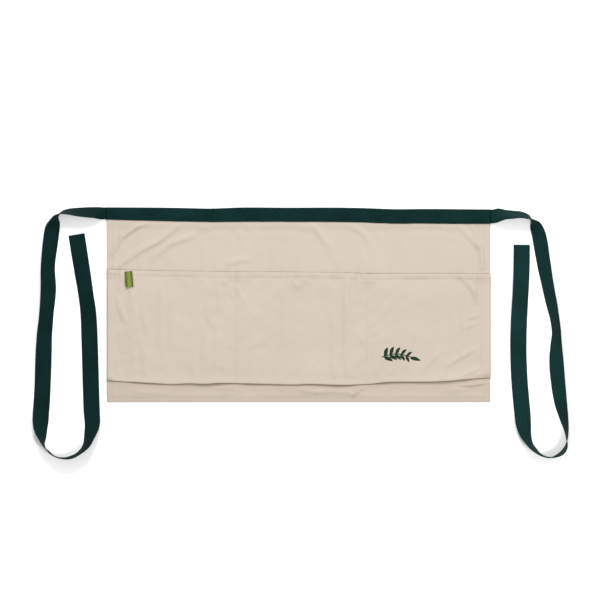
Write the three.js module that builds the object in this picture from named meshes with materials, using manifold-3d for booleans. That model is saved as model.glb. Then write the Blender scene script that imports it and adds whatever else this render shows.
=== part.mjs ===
// A waist apron for an artist, laid out on its back: a hemmed cotton canvas panel, one
// full-width piece of canvas sewn onto it as three pockets, a green strip folded over the
// panel's top edge that runs on at both ends as a long tie, a small woven label and an
// embroidered sprig of leaves. Every line of sewing is a piece of its own.
//
// Millimetres. +X runs along the waistband, +Y points from the hem to the waistband and +Z
// out of the front. The origin is on the surface that the apron lies on, under its middle.

import * as THREE from 'three';
import { mergeVertices } from 'three/addons/utils/BufferGeometryUtils.js';
import Module from 'manifold-3d';

// ---------------------------------------------------------------- driving dimensions

const PANEL_WIDTH = 610;
const APRON_HEIGHT = 309;
const CLOTH = 0.6; // thickness of one layer of canvas
const GAP = 0.3; // air between two pieces that lie on each other
const HEM_LAYERS = 3; // a double-folded hem
const HEM_STEP = 2; // over this width a hem runs out to one layer

const SIDE_HEM = 11;
const SIDE_STITCH_INSET = 9.5;
const BOTTOM_HEM = 8.5;
const BOTTOM_STITCH_INSET = 7;

const BAND_HEIGHT = 23;
const BAND_WALL = 0.6;
const BAND_OVERLAP = 15; // how far the panel reaches up into the band
const BAND_STITCH_INSET = 2.5;
const BAND_RAMP = 12; // over this length the panel rises onto the band's back wall

const TIE_WIDTH = 26;
const TIE_THICKNESS = 1.4;
const TIE_PLAY = 1; // between the end of the band and the start of a tie
const TIE_STEPS = 80;
const TIE_EDGE = 0.7; // thickness at its folded edges
const TIE_CROWN = 0.05; // it starts to thin by this much under its line of sewing
const TIE_STITCH_INSET = 2.5;
const TIE_END_STITCH_INSET = 9;

const MOUTH_DEPTH = 102; // from the apron's top edge down to the pockets' mouths
const STRIP_BELOW_POCKET = 30;
const POCKET_RISE = 5.6; // the front wall stands this much higher between its seams
const POCKET_RAMP = 11; // beside a seam, the width over which it gets there
const POCKET_SIDE_SEAM = 14;
const DIVIDER_SPACING = 208; // between the two seams that make three pockets
const DIVIDER_SHIFT = 4; // their middle is this far to the right of the apron's
const SEAM_HALF_WIDTH = 1.5;
const MOUTH_HEM = 10;
const MOUTH_STITCH_INSET = 8;
const FOLD_RETURN = 12; // the tuck at the foot, turned under to its hidden seam
const FOLD_SEAM_INSET = 2;
const PRESSED_FOLD = 1.5; // height of the tuck where a seam presses it flat
const FOLD_STEPS = 6;

const THREAD = 0.3;
const THREAD_WIDTH = 0.7;
const THREAD_END = 1; // a line of sewing stops this far from an edge it runs towards

const LABEL_WIDTH = 12.5;
const LABEL_LENGTH = 22.5;
const LABEL_THICKNESS = 0.8;
const LABEL_FROM_EDGE = 34.5; // from the panel's left edge to the middle of the label
const LABEL_TILT = THREE.MathUtils.degToRad(5);
const LABEL_PLAY = 0.6; // between the label and the sewing that it hangs from

const SPRIG_LENGTH = 58;
const SPRIG_BOW = 5; // rise of the stem's middle
const SPRIG_STEM = 1.6;
const SPRIG_THICKNESS = 0.4;
const SPRIG_LEAF = { length: 13, width: 5.2 };
const SPRIG_PAIRS = 5;
const SPRIG_FROM_EDGE = 144; // from the panel's right edge to the middle of the sprig
const SPRIG_ABOVE_FOLD = 41;

// The ties' routes, chosen by hand: [out from the panel's edge, up from the band's middle,
// turn in degrees, lift]. At turn 0 the front of the tie faces up, at 90 it stands on edge
// with its front facing away from the apron, and at 180 it lies on its front. Lift is how far
// its lower edge is off the surface.
const LEFT_ROUTE = [
  [0, 0, 0, 0.5],
  [6, 0, 3, 0.4],
  [17, 2, 34, 0],
  [36, 3.6, 52, 0],
  [49, 4.4, 59, 0],
  [61.5, 4.7, 68, 0],
  [71.5, 2.5, 82, 0],
  [78.5, -3.5, 104, 0],
  [81.5, -13, 131, 0],
  [84.8, -22.5, 150, 0],
  [87.8, -41.5, 156, 0],
  [91.8, -79.5, 146, 0],
  [91.6, -118, 157, 0],
  [94.2, -156, 148, 0],
  [97.8, -194, 157, 0],
  [100, -246.5, 176, 0],
  [101.8, -289.5, 180, 0],
  [103.8, -323, 170, 0],
  [103.1, -340, 142, 0],
  [100.7, -353.5, 117, 0],
  [98.5, -365.5, 93, 0],
  [90, -376.5, 80, 0],
  [79.5, -384, 87, 0],
  [66, -386.5, 94, 0],
  [51, -383.3, 100, 0],
  [39.5, -375.5, 105, 0],
  [31, -365.5, 117, 0],
  [25.6, -349.5, 137, 0],
  [21.7, -333, 160, 0],
  [22.9, -308, 178, 0],
  [24.2, -268, 180, 0],
  [25.7, -213, 180, 0],
  [28, -156, 168, 0],
  [31.8, -127, 162, 0],
  [40.8, -70, 174, 0],
  [47, -31.2, 180, 0],
];
const RIGHT_ROUTE = [
  [0, 0, 0, 0.5],
  [6, 0, 12, 0.2],
  [20, 0.4, 49, 0],
  [34.5, 0, 59, 0],
  [47, 0, 64, 0],
  [59, -3.6, 73, 0],
  [65.2, -9, 97, 0],
  [69.8, -16, 128, 0],
  [74.2, -26, 141, 0],
  [77.8, -41.5, 148, 0],
  [82.2, -70, 144, 0],
  [88.9, -108, 134, 0],
  [97, -146.5, 127, 0],
  [103.3, -184.5, 118, 0],
  [103.3, -204, 128, 0],
  [103.7, -232, 146, 0],
  [105.8, -261, 148, 0],
  [110.2, -299, 136, 0],
  [114.3, -318, 122, 0],
  [118.5, -337.5, 105, 0],
  [119.8, -355.5, 90, 0],
  [119.1, -366, 76, 0],
  [114.5, -375.5, 70, 0],
  [105, -382.3, 76, 0],
  [91, -385.2, 88, 0],
  [78, -380.7, 97, 0],
  [71.5, -375.4, 104, 0],
  [62.7, -365.5, 114, 0],
  [57.4, -355, 129, 0],
  [53.8, -345, 144, 0],
  [51.7, -334, 161, 0],
  [50.1, -316, 178, 0],
  [45.9, -270, 180, 0],
  [43.8, -223, 180, 0],
  [44.4, -170, 176, 0],
  [47.2, -120, 174, 0],
  [48.7, -80, 178, 0],
  [49, -47.5, 180, 0],
];

// ---------------------------------------------------------------- places that follow

const RIGHT_EDGE = PANEL_WIDTH / 2;
const TOP_EDGE = APRON_HEIGHT / 2;
const BOTTOM_EDGE = -APRON_HEIGHT / 2;

const HEM_THICKNESS = HEM_LAYERS * CLOTH;
const BAND_FOOT = TOP_EDGE - BAND_HEIGHT;
const BAND_MIDDLE = TOP_EDGE - BAND_HEIGHT / 2;
const BAND_THICKNESS = 2 * BAND_WALL + 2 * GAP + HEM_THICKNESS;

const TIE_AND_SEWING = TIE_THICKNESS + 2 * (GAP + THREAD); // with its sewing on either face
const MOUTH = TOP_EDGE - MOUTH_DEPTH;
const FOLD = BOTTOM_EDGE + STRIP_BELOW_POCKET;
const SIDE_SEAM = RIGHT_EDGE - POCKET_SIDE_SEAM;
const LEFT_DIVIDER = DIVIDER_SHIFT - DIVIDER_SPACING / 2;
const RIGHT_DIVIDER = DIVIDER_SHIFT + DIVIDER_SPACING / 2;
const FOLD_END = FOLD + FOLD_RETURN;

// ---------------------------------------------------------------- materials

function cloth(color, roughness = 0.95) {
  return new THREE.MeshStandardMaterial({ color, roughness, metalness: 0 });
}

const canvas = cloth(0xdcceb9);
const pocketCanvas = cloth(0xd8cbbc);
const greenTape = cloth(0x163331);
const greenTie = cloth(0x173634);
const naturalThread = cloth(0xe6dccb, 0.8);
const greenThread = cloth(0x1d4440, 0.8);
const labelWeave = cloth(0x768414, 0.85);
const oliveThread = cloth(0x5d680f, 0.8);
const sprigThread = cloth(0x1c4a3a, 0.7);

// ---------------------------------------------------------------- helpers

const apron = new THREE.Group();
const wasm = await Module();
wasm.setup();

function add(name, geometry, material) {
  const mesh = new THREE.Mesh(geometry, material);
  mesh.name = name;
  apron.add(mesh);
  return mesh;
}

// A closed sheet over a grid of columns and rows. place(column, row, face) gives the point
// on its front when face is 1, and on its back when face is -1.
function sheet(columns, rows, place) {
  const across = columns.length - 1;
  const up = rows.length - 1;
  const geometry = new THREE.BoxGeometry(across, up, 2, across, up, 1);
  const points = geometry.attributes.position;
  for (let i = 0; i < points.count; i += 1) {
    const column = columns[Math.round(points.getX(i) + across / 2)];
    const row = rows[Math.round(points.getY(i) + up / 2)];
    const face = points.getZ(i);
    points.setXYZ(i, ...place(column, row, face));
  }
  geometry.computeVertexNormals();
  return geometry;
}

// A bar of thread over [x0, x1] by [y0, y1] that lies on height(x, y). Its grid has the
// given lines that fall inside the bar, so that it bends where the cloth below it bends.
function threadOn(height, [x0, x1], [y0, y1], columnLines = [], rowLines = []) {
  const columns = linesBetween(x0, x1, columnLines);
  const rows = linesBetween(y0, y1, rowLines);
  return sheet(columns, rows, (x, y, face) => {
    const foot = height(x, y) + GAP;
    return [x, y, face > 0 ? foot + THREAD : foot];
  });
}

function linesBetween(low, high, lines) {
  const inside = lines.filter((line) => line > low + 0.01 && line < high - 0.01);
  return [low, ...inside.sort((a, b) => a - b), high];
}

function mirrored(values) {
  return [...values.map((value) => -value), ...values].sort((a, b) => a - b);
}

function solid(geometry) {
  const bare = geometry.clone();
  bare.deleteAttribute('normal');
  bare.deleteAttribute('uv');
  const merged = mergeVertices(bare, 1e-4);
  return new wasm.Manifold(
    new wasm.Mesh({
      numProp: 3,
      vertProperties: merged.attributes.position.array,
      triVerts: new Uint32Array(merged.index.array),
    }),
  );
}

function geometryOf(manifold) {
  const mesh = manifold.getMesh();
  const geometry = new THREE.BufferGeometry();
  geometry.setAttribute('position', new THREE.BufferAttribute(mesh.vertProperties, 3));
  geometry.setIndex(new THREE.BufferAttribute(mesh.triVerts, 1));
  geometry.computeVertexNormals();
  return geometry;
}

// ---------------------------------------------------------------- the panel

const HEM_COLUMNS = mirrored([RIGHT_EDGE, RIGHT_EDGE - SIDE_HEM, RIGHT_EDGE - SIDE_HEM - HEM_STEP]);
const PANEL_TOP = BAND_FOOT + BAND_OVERLAP;
const PANEL_ROWS = [
  BOTTOM_EDGE,
  BOTTOM_EDGE + BOTTOM_HEM,
  BOTTOM_EDGE + BOTTOM_HEM + HEM_STEP,
  BAND_FOOT - BAND_RAMP,
  BAND_FOOT,
  PANEL_TOP,
];

function clamp01(value) {
  return THREE.MathUtils.clamp(value, 0, 1);
}

// How much of a hem's extra thickness there is at a distance from the edge.
function hemShare(distance, hem) {
  return 1 - clamp01((distance - hem) / HEM_STEP);
}

function panelBack(x, y) {
  const onBand = clamp01((y - (BAND_FOOT - BAND_RAMP)) / BAND_RAMP);
  return onBand * (BAND_WALL + GAP);
}

function panelFront(x, y) {
  const side = hemShare(RIGHT_EDGE - Math.abs(x), SIDE_HEM);
  const foot = hemShare(y - BOTTOM_EDGE, BOTTOM_HEM);
  const extra = (HEM_THICKNESS - CLOTH) * Math.max(side, foot);
  return panelBack(x, y) + CLOTH + extra;
}

function makePanel() {
  const geometry = sheet(HEM_COLUMNS, PANEL_ROWS, (x, y, face) => {
    return [x, y, face > 0 ? panelFront(x, y) : panelBack(x, y)];
  });
  add('apron_panel', geometry, canvas);
}

function makePanelStitches() {
  const inset = RIGHT_EDGE - SIDE_STITCH_INSET;
  const half = THREAD_WIDTH / 2;
  const run = [MOUTH + THREAD_END, BAND_FOOT - THREAD_END];
  for (const [name, x] of [['left', -inset], ['right', inset]]) {
    const bar = threadOn(panelFront, [x - half, x + half], run, [], PANEL_ROWS);
    add(`side_hem_stitch_${name}`, bar, naturalThread);
  }
  add('bottom_hem_stitch', bottomStitch(inset, half), naturalThread);
}

// One thread down the left side below the pockets, along the hem and up the right side.
function bottomStitch(inset, half) {
  const foot = BOTTOM_EDGE + BOTTOM_STITCH_INSET;
  const head = FOLD - THREAD_END;
  const outline = new THREE.Shape([
    new THREE.Vector2(-inset - half, head),
    new THREE.Vector2(-inset - half, foot - half),
    new THREE.Vector2(inset + half, foot - half),
    new THREE.Vector2(inset + half, head),
    new THREE.Vector2(inset - half, head),
    new THREE.Vector2(inset - half, foot + half),
    new THREE.Vector2(-inset + half, foot + half),
    new THREE.Vector2(-inset + half, head),
  ]);
  const bar = new THREE.ExtrudeGeometry(outline, { depth: THREAD, bevelEnabled: false });
  return bar.translate(0, 0, HEM_THICKNESS + GAP);
}

// ---------------------------------------------------------------- the pockets

// 0 where a seam presses the pocket piece onto the panel, 1 where it stands open.
function openness(x) {
  const seams = [-SIDE_SEAM, LEFT_DIVIDER, RIGHT_DIVIDER, SIDE_SEAM];
  if (Math.abs(x) > SIDE_SEAM) return 0;
  const nearest = Math.min(...seams.map((seam) => Math.abs(x - seam)));
  return THREE.MathUtils.smoothstep(nearest - SEAM_HALF_WIDTH, 0, POCKET_RAMP);
}

function rampColumns(seam, directions) {
  const shares = [0, 1 / 3, 2 / 3, 1];
  return directions.flatMap((way) =>
    shares.map((share) => seam + way * (SEAM_HALF_WIDTH + share * POCKET_RAMP)),
  );
}

const POCKET_COLUMNS = [
  ...HEM_COLUMNS,
  ...rampColumns(-SIDE_SEAM, [1]),
  ...rampColumns(LEFT_DIVIDER, [-1, 1]),
  ...rampColumns(RIGHT_DIVIDER, [-1, 1]),
  ...rampColumns(SIDE_SEAM, [-1]),
].sort((a, b) => a - b);

const MOUTH_EXTRA = HEM_THICKNESS - CLOTH;
const WALL_ROWS = [
  { y: MOUTH, pressed: MOUTH_EXTRA, extra: MOUTH_EXTRA },
  { y: MOUTH - MOUTH_HEM, pressed: MOUTH_EXTRA, extra: MOUTH_EXTRA },
  { y: MOUTH - MOUTH_HEM - HEM_STEP, pressed: 0, extra: 0 },
  { y: FOLD_END + FOLD_SEAM_INSET + HEM_STEP, pressed: 0, extra: 0 },
  { y: FOLD_END + FOLD_SEAM_INSET, pressed: PRESSED_FOLD, extra: 0 },
];

// Height of the pocket piece's middle surface over the panel's front.
function wallRise(x, pressed) {
  return GAP + CLOTH / 2 + THREE.MathUtils.lerp(pressed, POCKET_RISE, openness(x));
}

// Front of the pocket wall at any height between its mouth and its tuck.
function pocketFront(x, y) {
  const rows = WALL_ROWS;
  const last = rows.length - 1;
  let pressed = y > rows[0].y ? rows[0].pressed : rows[last].pressed;
  for (let i = 0; i < last; i += 1) {
    if (y <= rows[i].y && y > rows[i + 1].y) {
      const share = (rows[i].y - y) / (rows[i].y - rows[i + 1].y);
      pressed = THREE.MathUtils.lerp(rows[i].pressed, rows[i + 1].pressed, share);
    }
  }
  return panelFront(x, 0) + wallRise(x, pressed) + CLOTH / 2;
}

function placeOnWall(x, row, face) {
  const middle = panelFront(x, 0) + wallRise(x, row.pressed);
  return [x, row.y, face > 0 ? middle + CLOTH / 2 : middle - CLOTH / 2 - row.extra];
}

// The tuck turns back under the wall on a half circle, as high as the wall stands.
function placeOnFold(x, row, face) {
  const foot = panelFront(x, 0) + GAP + CLOTH / 2;
  const radius = THREE.MathUtils.lerp(PRESSED_FOLD, POCKET_RISE, openness(x)) / 2;
  const reach = radius + (face * CLOTH) / 2;
  const y = row.end ?? FOLD + CLOTH / 2 + radius + reach * Math.cos(row.angle);
  return [x, y, foot + radius + reach * Math.sin(row.angle)];
}

function makePocket() {
  const rows = WALL_ROWS.map((row) => ({ ...row, place: placeOnWall }));
  for (let i = 0; i <= FOLD_STEPS; i += 1) {
    rows.push({ angle: Math.PI * (0.5 + i / FOLD_STEPS), place: placeOnFold });
  }
  rows.push({ angle: 1.5 * Math.PI, end: FOLD_END, place: placeOnFold });
  rows.reverse();
  const geometry = sheet(POCKET_COLUMNS, rows, (x, row, face) => row.place(x, row, face));
  add('pocket_panel', geometry, pocketCanvas);
}

function makePocketStitches() {
  const half = THREAD_WIDTH / 2;
  const line = MOUTH - MOUTH_STITCH_INSET;
  const ends = RIGHT_EDGE - THREAD_END;
  const mouthRun = [line - half, line + half];
  const mouth = threadOn(pocketFront, [-ends, ends], mouthRun, POCKET_COLUMNS);
  add('pocket_mouth_stitch', mouth, naturalThread);

  // The seams that run down the pockets hop over the line of sewing at the mouth.
  const hop = [line + 3 * half, line + half + GAP, line - half - GAP, line - 3 * half];
  const overMouth = (x, y) => {
    const share = 1 - clamp01((Math.abs(y - line) - half - GAP) / (half - GAP / 2));
    return pocketFront(x, y) + share * (THREAD + GAP);
  };
  const rows = [...WALL_ROWS.map((row) => row.y), ...hop];
  const run = [FOLD + PRESSED_FOLD + CLOTH, MOUTH - THREAD_END];
  const seams = {
    pocket_side_stitch_left: -SIDE_SEAM,
    pocket_divider_stitch_left: LEFT_DIVIDER,
    pocket_divider_stitch_right: RIGHT_DIVIDER,
    pocket_side_stitch_right: SIDE_SEAM,
  };
  for (const [name, x] of Object.entries(seams)) {
    add(name, threadOn(overMouth, [x - half, x + half], run, [], rows), naturalThread);
  }

  const hidden = FOLD_END - FOLD_SEAM_INSET;
  const onReturn = (x) => panelFront(x, 0) + GAP + CLOTH;
  const seam = threadOn(onReturn, [-ends, ends], [hidden - half, hidden + half], HEM_COLUMNS);
  add('pocket_foot_stitch', seam, naturalThread);
}

// ---------------------------------------------------------------- the waistband

// One green strip folded over the panel's top edge, open towards the pockets.
function makeWaistband() {
  const outer = BAND_THICKNESS / 2;
  const inner = outer - BAND_WALL;
  const bend = TOP_EDGE - outer;
  const outline = new THREE.Shape();
  outline.moveTo(BAND_FOOT, 0);
  outline.lineTo(bend, 0);
  outline.absarc(bend, outer, outer, -Math.PI / 2, Math.PI / 2, false);
  outline.lineTo(BAND_FOOT, BAND_THICKNESS);
  outline.lineTo(BAND_FOOT, BAND_THICKNESS - BAND_WALL);
  outline.lineTo(bend, BAND_THICKNESS - BAND_WALL);
  outline.absarc(bend, outer, inner, Math.PI / 2, -Math.PI / 2, true);
  outline.lineTo(BAND_FOOT, BAND_WALL);
  const geometry = new THREE.ExtrudeGeometry(outline, {
    depth: PANEL_WIDTH,
    bevelEnabled: false,
    curveSegments: 5,
  });
  const lay = new THREE.Matrix4().makeBasis(
    new THREE.Vector3(0, 1, 0),
    new THREE.Vector3(0, 0, 1),
    new THREE.Vector3(1, 0, 0),
  );
  geometry.applyMatrix4(lay).translate(-RIGHT_EDGE, 0, 0);
  add('waistband', geometry, greenTape);

  const line = BAND_FOOT + BAND_STITCH_INSET;
  const half = THREAD_WIDTH / 2;
  const ends = RIGHT_EDGE - THREAD_END;
  const stitch = threadOn(() => BAND_THICKNESS, [-ends, ends], [line - half, line + half]);
  add('waistband_stitch', stitch, greenThread);
}

// ---------------------------------------------------------------- the ties

// A flat tie's route, or the share of it between from and to. side is -1 for the left tie and
// 1 for the right one. The first axis of its frames runs across the tie, the second out of
// its front.
class TiePath extends THREE.Curve {
  constructor(route, side, from = 0, to = 1) {
    super();
    const across = (out) => side * (RIGHT_EDGE + TIE_PLAY + out);
    const spots = route.map(([out, up]) => new THREE.Vector3(across(out), BAND_MIDDLE + up, 0));
    const turns = route.map(([, , turn, lift]) => new THREE.Vector3(turn, lift, 0));
    this.middle = new THREE.CatmullRomCurve3(spots);
    this.turns = new THREE.CatmullRomCurve3(turns, false, 'catmullrom');
    this.side = side;
    this.from = from;
    this.to = to;
  }

  share(t) {
    return THREE.MathUtils.lerp(this.from, this.to, t);
  }

  // How far the tie has turned, and how far it is lifted.
  pose(t) {
    const { x: turn, y: lift } = this.turns.getPoint(this.middle.getUtoTmapping(this.share(t)));
    return { angle: THREE.MathUtils.degToRad(turn), lift };
  }

  // The tie's lower edge rests on the surface, so its middle rises as it turns on edge.
  getPoint(t) {
    const { angle, lift } = this.pose(t);
    const point = this.middle.getPointAt(this.share(t));
    const reach = TIE_WIDTH * Math.abs(Math.sin(angle));
    const thick = TIE_AND_SEWING * Math.abs(Math.cos(angle));
    point.z = (reach + thick) / 2 + lift;
    return point;
  }

  frame(t) {
    const { angle } = this.pose(t);
    const tangent = this.middle.getTangentAt(this.share(t));
    const up = new THREE.Vector3(0, 0, 1);
    const outward = new THREE.Vector3(0, 0, this.side).cross(tangent).normalize();
    const front = up.clone().multiplyScalar(Math.cos(angle));
    front.addScaledVector(outward, Math.sin(angle));
    const across = outward.multiplyScalar(Math.cos(angle));
    across.addScaledVector(up, -Math.sin(angle)).multiplyScalar(this.side);
    return { tangent, across, front };
  }

  computeFrenetFrames(segments) {
    const frames = { tangents: [], normals: [], binormals: [] };
    for (let i = 0; i <= segments; i += 1) {
      const { tangent, across, front } = this.frame(i / segments);
      frames.tangents.push(tangent);
      frames.normals.push(across);
      frames.binormals.push(front);
    }
    return frames;
  }
}

function bar(width, height, across, out) {
  return new THREE.Shape([
    new THREE.Vector2(across - width / 2, out - height / 2),
    new THREE.Vector2(across + width / 2, out - height / 2),
    new THREE.Vector2(across + width / 2, out + height / 2),
    new THREE.Vector2(across - width / 2, out + height / 2),
  ]);
}

// The folded strip's section, with a narrow facet under each line of sewing.
function tieOutline() {
  const line = TIE_WIDTH / 2 - TIE_STITCH_INSET;
  const quarter = [
    [TIE_WIDTH / 2, TIE_EDGE / 2],
    [line + THREAD_WIDTH, TIE_THICKNESS / 2 - TIE_CROWN],
    [line - THREAD_WIDTH, TIE_THICKNESS / 2],
  ];
  const back = [...quarter].reverse();
  return new THREE.Shape([
    ...quarter.map(([across, out]) => new THREE.Vector2(across, out)),
    ...back.map(([across, out]) => new THREE.Vector2(-across, out)),
    ...quarter.map(([across, out]) => new THREE.Vector2(-across, -out)),
    ...back.map(([across, out]) => new THREE.Vector2(across, -out)),
  ]);
}

function sweep(outline, path, steps) {
  return new THREE.ExtrudeGeometry(outline, { steps, extrudePath: path, bevelEnabled: false });
}

function makeTie(name, route, side) {
  const path = new TiePath(route, side);
  const length = path.middle.getLength();
  add(name, sweep(tieOutline(), path, TIE_STEPS), greenTie);

  // The line of sewing is near the edge that faces the hem where the tie leaves the band. It
  // has the tie's own steps, so that it bends with it, and stops one step before its end.
  const line = -side * (TIE_WIDTH / 2 - TIE_STITCH_INSET);
  const out = TIE_THICKNESS / 2 + GAP + THREAD / 2;
  const run = new TiePath(route, side, 0, 1 - 1 / TIE_STEPS);
  const thread = bar(THREAD_WIDTH, THREAD, line, out);
  add(`${name}_stitch`, sweep(thread, run, TIE_STEPS - 1), greenThread);

  const endShare = 1 - TIE_END_STITCH_INSET / length;
  const end = new TiePath(route, side, endShare, endShare + THREAD_WIDTH / length);
  const endBar = bar(TIE_WIDTH - 2 * THREAD_END, THREAD, 0, out);
  add(`${name}_end_stitch`, sweep(endBar, end, 1), greenThread);
}

// ---------------------------------------------------------------- the label and the sprig

function makeLabel() {
  const x = -RIGHT_EDGE + LABEL_FROM_EDGE;
  const wall = pocketFront(x, 0);
  const overMouthStitch = wall + GAP + THREAD + GAP;
  const hang = new THREE.Group();
  hang.position.set(x, MOUTH - LABEL_PLAY / 2, 0);
  hang.rotation.z = LABEL_TILT;
  apron.add(hang);

  const label = new THREE.BoxGeometry(LABEL_WIDTH, LABEL_LENGTH, LABEL_THICKNESS);
  const top = THREAD_WIDTH + LABEL_PLAY;
  label.translate(0, -top - LABEL_LENGTH / 2, overMouthStitch + LABEL_THICKNESS / 2);
  hang.add(add('label', label, labelWeave));

  const stitch = new THREE.BoxGeometry(LABEL_WIDTH - 2 * THREAD_END, THREAD_WIDTH, THREAD);
  stitch.translate(0, -THREAD_WIDTH / 2, wall + GAP + THREAD / 2);
  hang.add(add('label_stitch', stitch, oliveThread));
}

function leafShape(length, width) {
  const leaf = new THREE.Shape();
  leaf.moveTo(0, 0);
  leaf.quadraticCurveTo(length * 0.45, width, length, 0);
  leaf.quadraticCurveTo(length * 0.45, -width, 0, 0);
  return leaf;
}

// A bowed stem with pairs of leaves and one at its tip, all one raised patch of thread.
function makeSprig() {
  const settings = { depth: SPRIG_THICKNESS, bevelEnabled: false, curveSegments: 6 };
  const start = -SPRIG_LENGTH / 2;
  const stemLength = SPRIG_LENGTH - SPRIG_LEAF.length;
  const bow = (share) => SPRIG_BOW * Math.sin(Math.PI * share);
  const stem = new THREE.Shape();
  const steps = 12;
  stem.moveTo(start, -SPRIG_STEM / 2);
  for (let i = 1; i <= steps; i += 1) {
    stem.lineTo(start + (stemLength * i) / steps, bow(i / steps) - SPRIG_STEM / 2);
  }
  for (let i = steps; i >= 0; i -= 1) {
    stem.lineTo(start + (stemLength * i) / steps, bow(i / steps) + SPRIG_STEM / 2);
  }
  let sprig = solid(new THREE.ExtrudeGeometry(stem, settings));

  const addLeaf = (share, angle, scale) => {
    const shape = leafShape(SPRIG_LEAF.length * scale, SPRIG_LEAF.width * scale);
    const leaf = new THREE.ExtrudeGeometry(shape, settings);
    leaf.rotateZ(angle).translate(start + stemLength * share, bow(share), 0);
    sprig = sprig.add(solid(leaf));
  };
  for (let i = 0; i < SPRIG_PAIRS; i += 1) {
    const share = (i + 0.6) / SPRIG_PAIRS;
    const scale = 1 - 0.08 * i;
    addLeaf(share, 0.8, scale);
    addLeaf(share - 0.06, -0.8, scale);
  }
  addLeaf(0.99, 0, 1);

  const x = RIGHT_EDGE - SPRIG_FROM_EDGE;
  const geometry = geometryOf(sprig);
  geometry.translate(x, FOLD + SPRIG_ABOVE_FOLD, pocketFront(x, 0) + GAP);
  add('embroidered_sprig', geometry, sprigThread);
}

// ---------------------------------------------------------------- assembly

makePanel();
makePanelStitches();
makePocket();
makePocketStitches();
makeWaistband();
makeTie('left_tie', LEFT_ROUTE, -1);
makeTie('right_tie', RIGHT_ROUTE, 1);
makeLabel();
makeSprig();

export default apron;
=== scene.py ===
# %% [markdown]
# # A painter's waist apron, laid out flat
# The apron is a hemmed panel of natural cotton canvas with one long pocket piece sewn onto it,
# a green strip folded over its top edge, and the same strip running on as two long ties.
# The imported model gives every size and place. It is rigid and plain, so each cell below makes
# one soft piece around it: first the shape, then its cloth, then the body that it moves with.

# %% Load the frame
import math

import bmesh
import bpy
import numpy as np
from mathutils import Matrix, Vector, noise
from mathutils.bvhtree import BVHTree


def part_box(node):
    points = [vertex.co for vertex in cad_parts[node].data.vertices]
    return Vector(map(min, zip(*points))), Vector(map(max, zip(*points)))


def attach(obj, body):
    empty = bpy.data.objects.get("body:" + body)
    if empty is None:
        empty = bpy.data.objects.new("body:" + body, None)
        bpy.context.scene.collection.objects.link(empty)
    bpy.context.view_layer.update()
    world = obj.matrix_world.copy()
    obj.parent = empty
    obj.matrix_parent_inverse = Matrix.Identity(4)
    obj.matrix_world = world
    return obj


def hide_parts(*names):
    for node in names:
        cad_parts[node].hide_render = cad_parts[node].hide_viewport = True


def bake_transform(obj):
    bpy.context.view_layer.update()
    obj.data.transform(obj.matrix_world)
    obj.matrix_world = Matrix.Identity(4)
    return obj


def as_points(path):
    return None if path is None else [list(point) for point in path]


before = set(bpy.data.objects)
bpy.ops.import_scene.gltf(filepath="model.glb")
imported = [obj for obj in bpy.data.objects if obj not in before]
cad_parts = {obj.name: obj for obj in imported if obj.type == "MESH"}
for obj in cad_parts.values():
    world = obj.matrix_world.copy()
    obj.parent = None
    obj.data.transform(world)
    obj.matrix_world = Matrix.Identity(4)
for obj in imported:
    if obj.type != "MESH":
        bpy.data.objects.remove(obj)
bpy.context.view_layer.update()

# %% [markdown]
# ## Camera
# A flat lay is looked at from straight above. A long lens high up keeps the apron's outline
# square, and a lens worked out from the width of table it should take in is easier to trust
# than one found by trial.

# %% Camera
VIEW_WIDTH = 0.9544
VIEW_CENTRE = (0.0024, 0.0077)
CAMERA_HEIGHT = 5.0

camera_data = bpy.data.cameras.new("camera")
camera_data.sensor_width = 36
camera_data.lens = camera_data.sensor_width * CAMERA_HEIGHT / VIEW_WIDTH
camera = bpy.data.objects.new("camera", camera_data)
camera.location = (*VIEW_CENTRE, CAMERA_HEIGHT)
bpy.context.collection.objects.link(camera)
bpy.context.scene.camera = camera
print("camera: lens", round(camera_data.lens, 1), "mm")

# %% [markdown]
# ## Places that every piece shares
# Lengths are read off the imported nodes, so that a changed part still fits. Only the cloth's
# own build is given here: how thick a layer is, and how far apart two layers lie in a hem.

# %% Sizes read from the frame
CLOTH = 0.0005
LAYER = 0.0006
BAND_TO_TIE = 0.0010
HALF_THREAD = 0.00035


def box_of(node):
    return [Vector(corner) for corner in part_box(node)]


def centre_of(node):
    low, high = box_of(node)
    return (low + high) / 2


panel_low, panel_high = box_of("apron_panel")
band_low, band_high = box_of("waistband")
pocket_low, pocket_high = box_of("pocket_panel")
tie_root = band_high.x + BAND_TO_TIE
tie_middle = (band_low.y + band_high.y) / 2
side_seam = centre_of("pocket_side_stitch_right").x
divider_seams = [centre_of(f"pocket_divider_stitch_{side}").x for side in ("left", "right")]
mouth_line = centre_of("pocket_mouth_stitch").y
hem_line = band_high.x - centre_of("side_hem_stitch_right").x
bottom_line = box_of("bottom_hem_stitch")[0].y + HALF_THREAD
print("panel", round(panel_high.x * 2, 3), "wide; seams at", [round(x, 4) for x in divider_seams])

# %% [markdown]
# ## Cloth materials
# Woven cloth is threads that pass over and under each other. The pattern is worked out from
# each piece's own UV map, which holds the cut cloth's measurements in metres, so the threads
# keep their size and follow every fold. The weave goes into the bump, and the colour gets
# what real yarn has: slubs along both directions and a slow drift of tone.

# %% Node helpers
def new_material(name):
    material = bpy.data.materials.new(name)
    material.use_nodes = True
    tree = material.node_tree
    return material, tree, tree.nodes["Principled BSDF"]


def add_node(tree, kind, inputs=None, **settings):
    node = tree.nodes.new(kind)
    for key, value in settings.items():
        setattr(node, key, value)
    for key, value in (inputs or {}).items():
        if isinstance(value, bpy.types.NodeSocket):
            tree.links.new(value, node.inputs[key])
        else:
            node.inputs[key].default_value = value
    return node


def calc(tree, operation, a, b=0.0):
    return add_node(tree, "ShaderNodeMath", {0: a, 1: b}, operation=operation).outputs[0]


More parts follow.
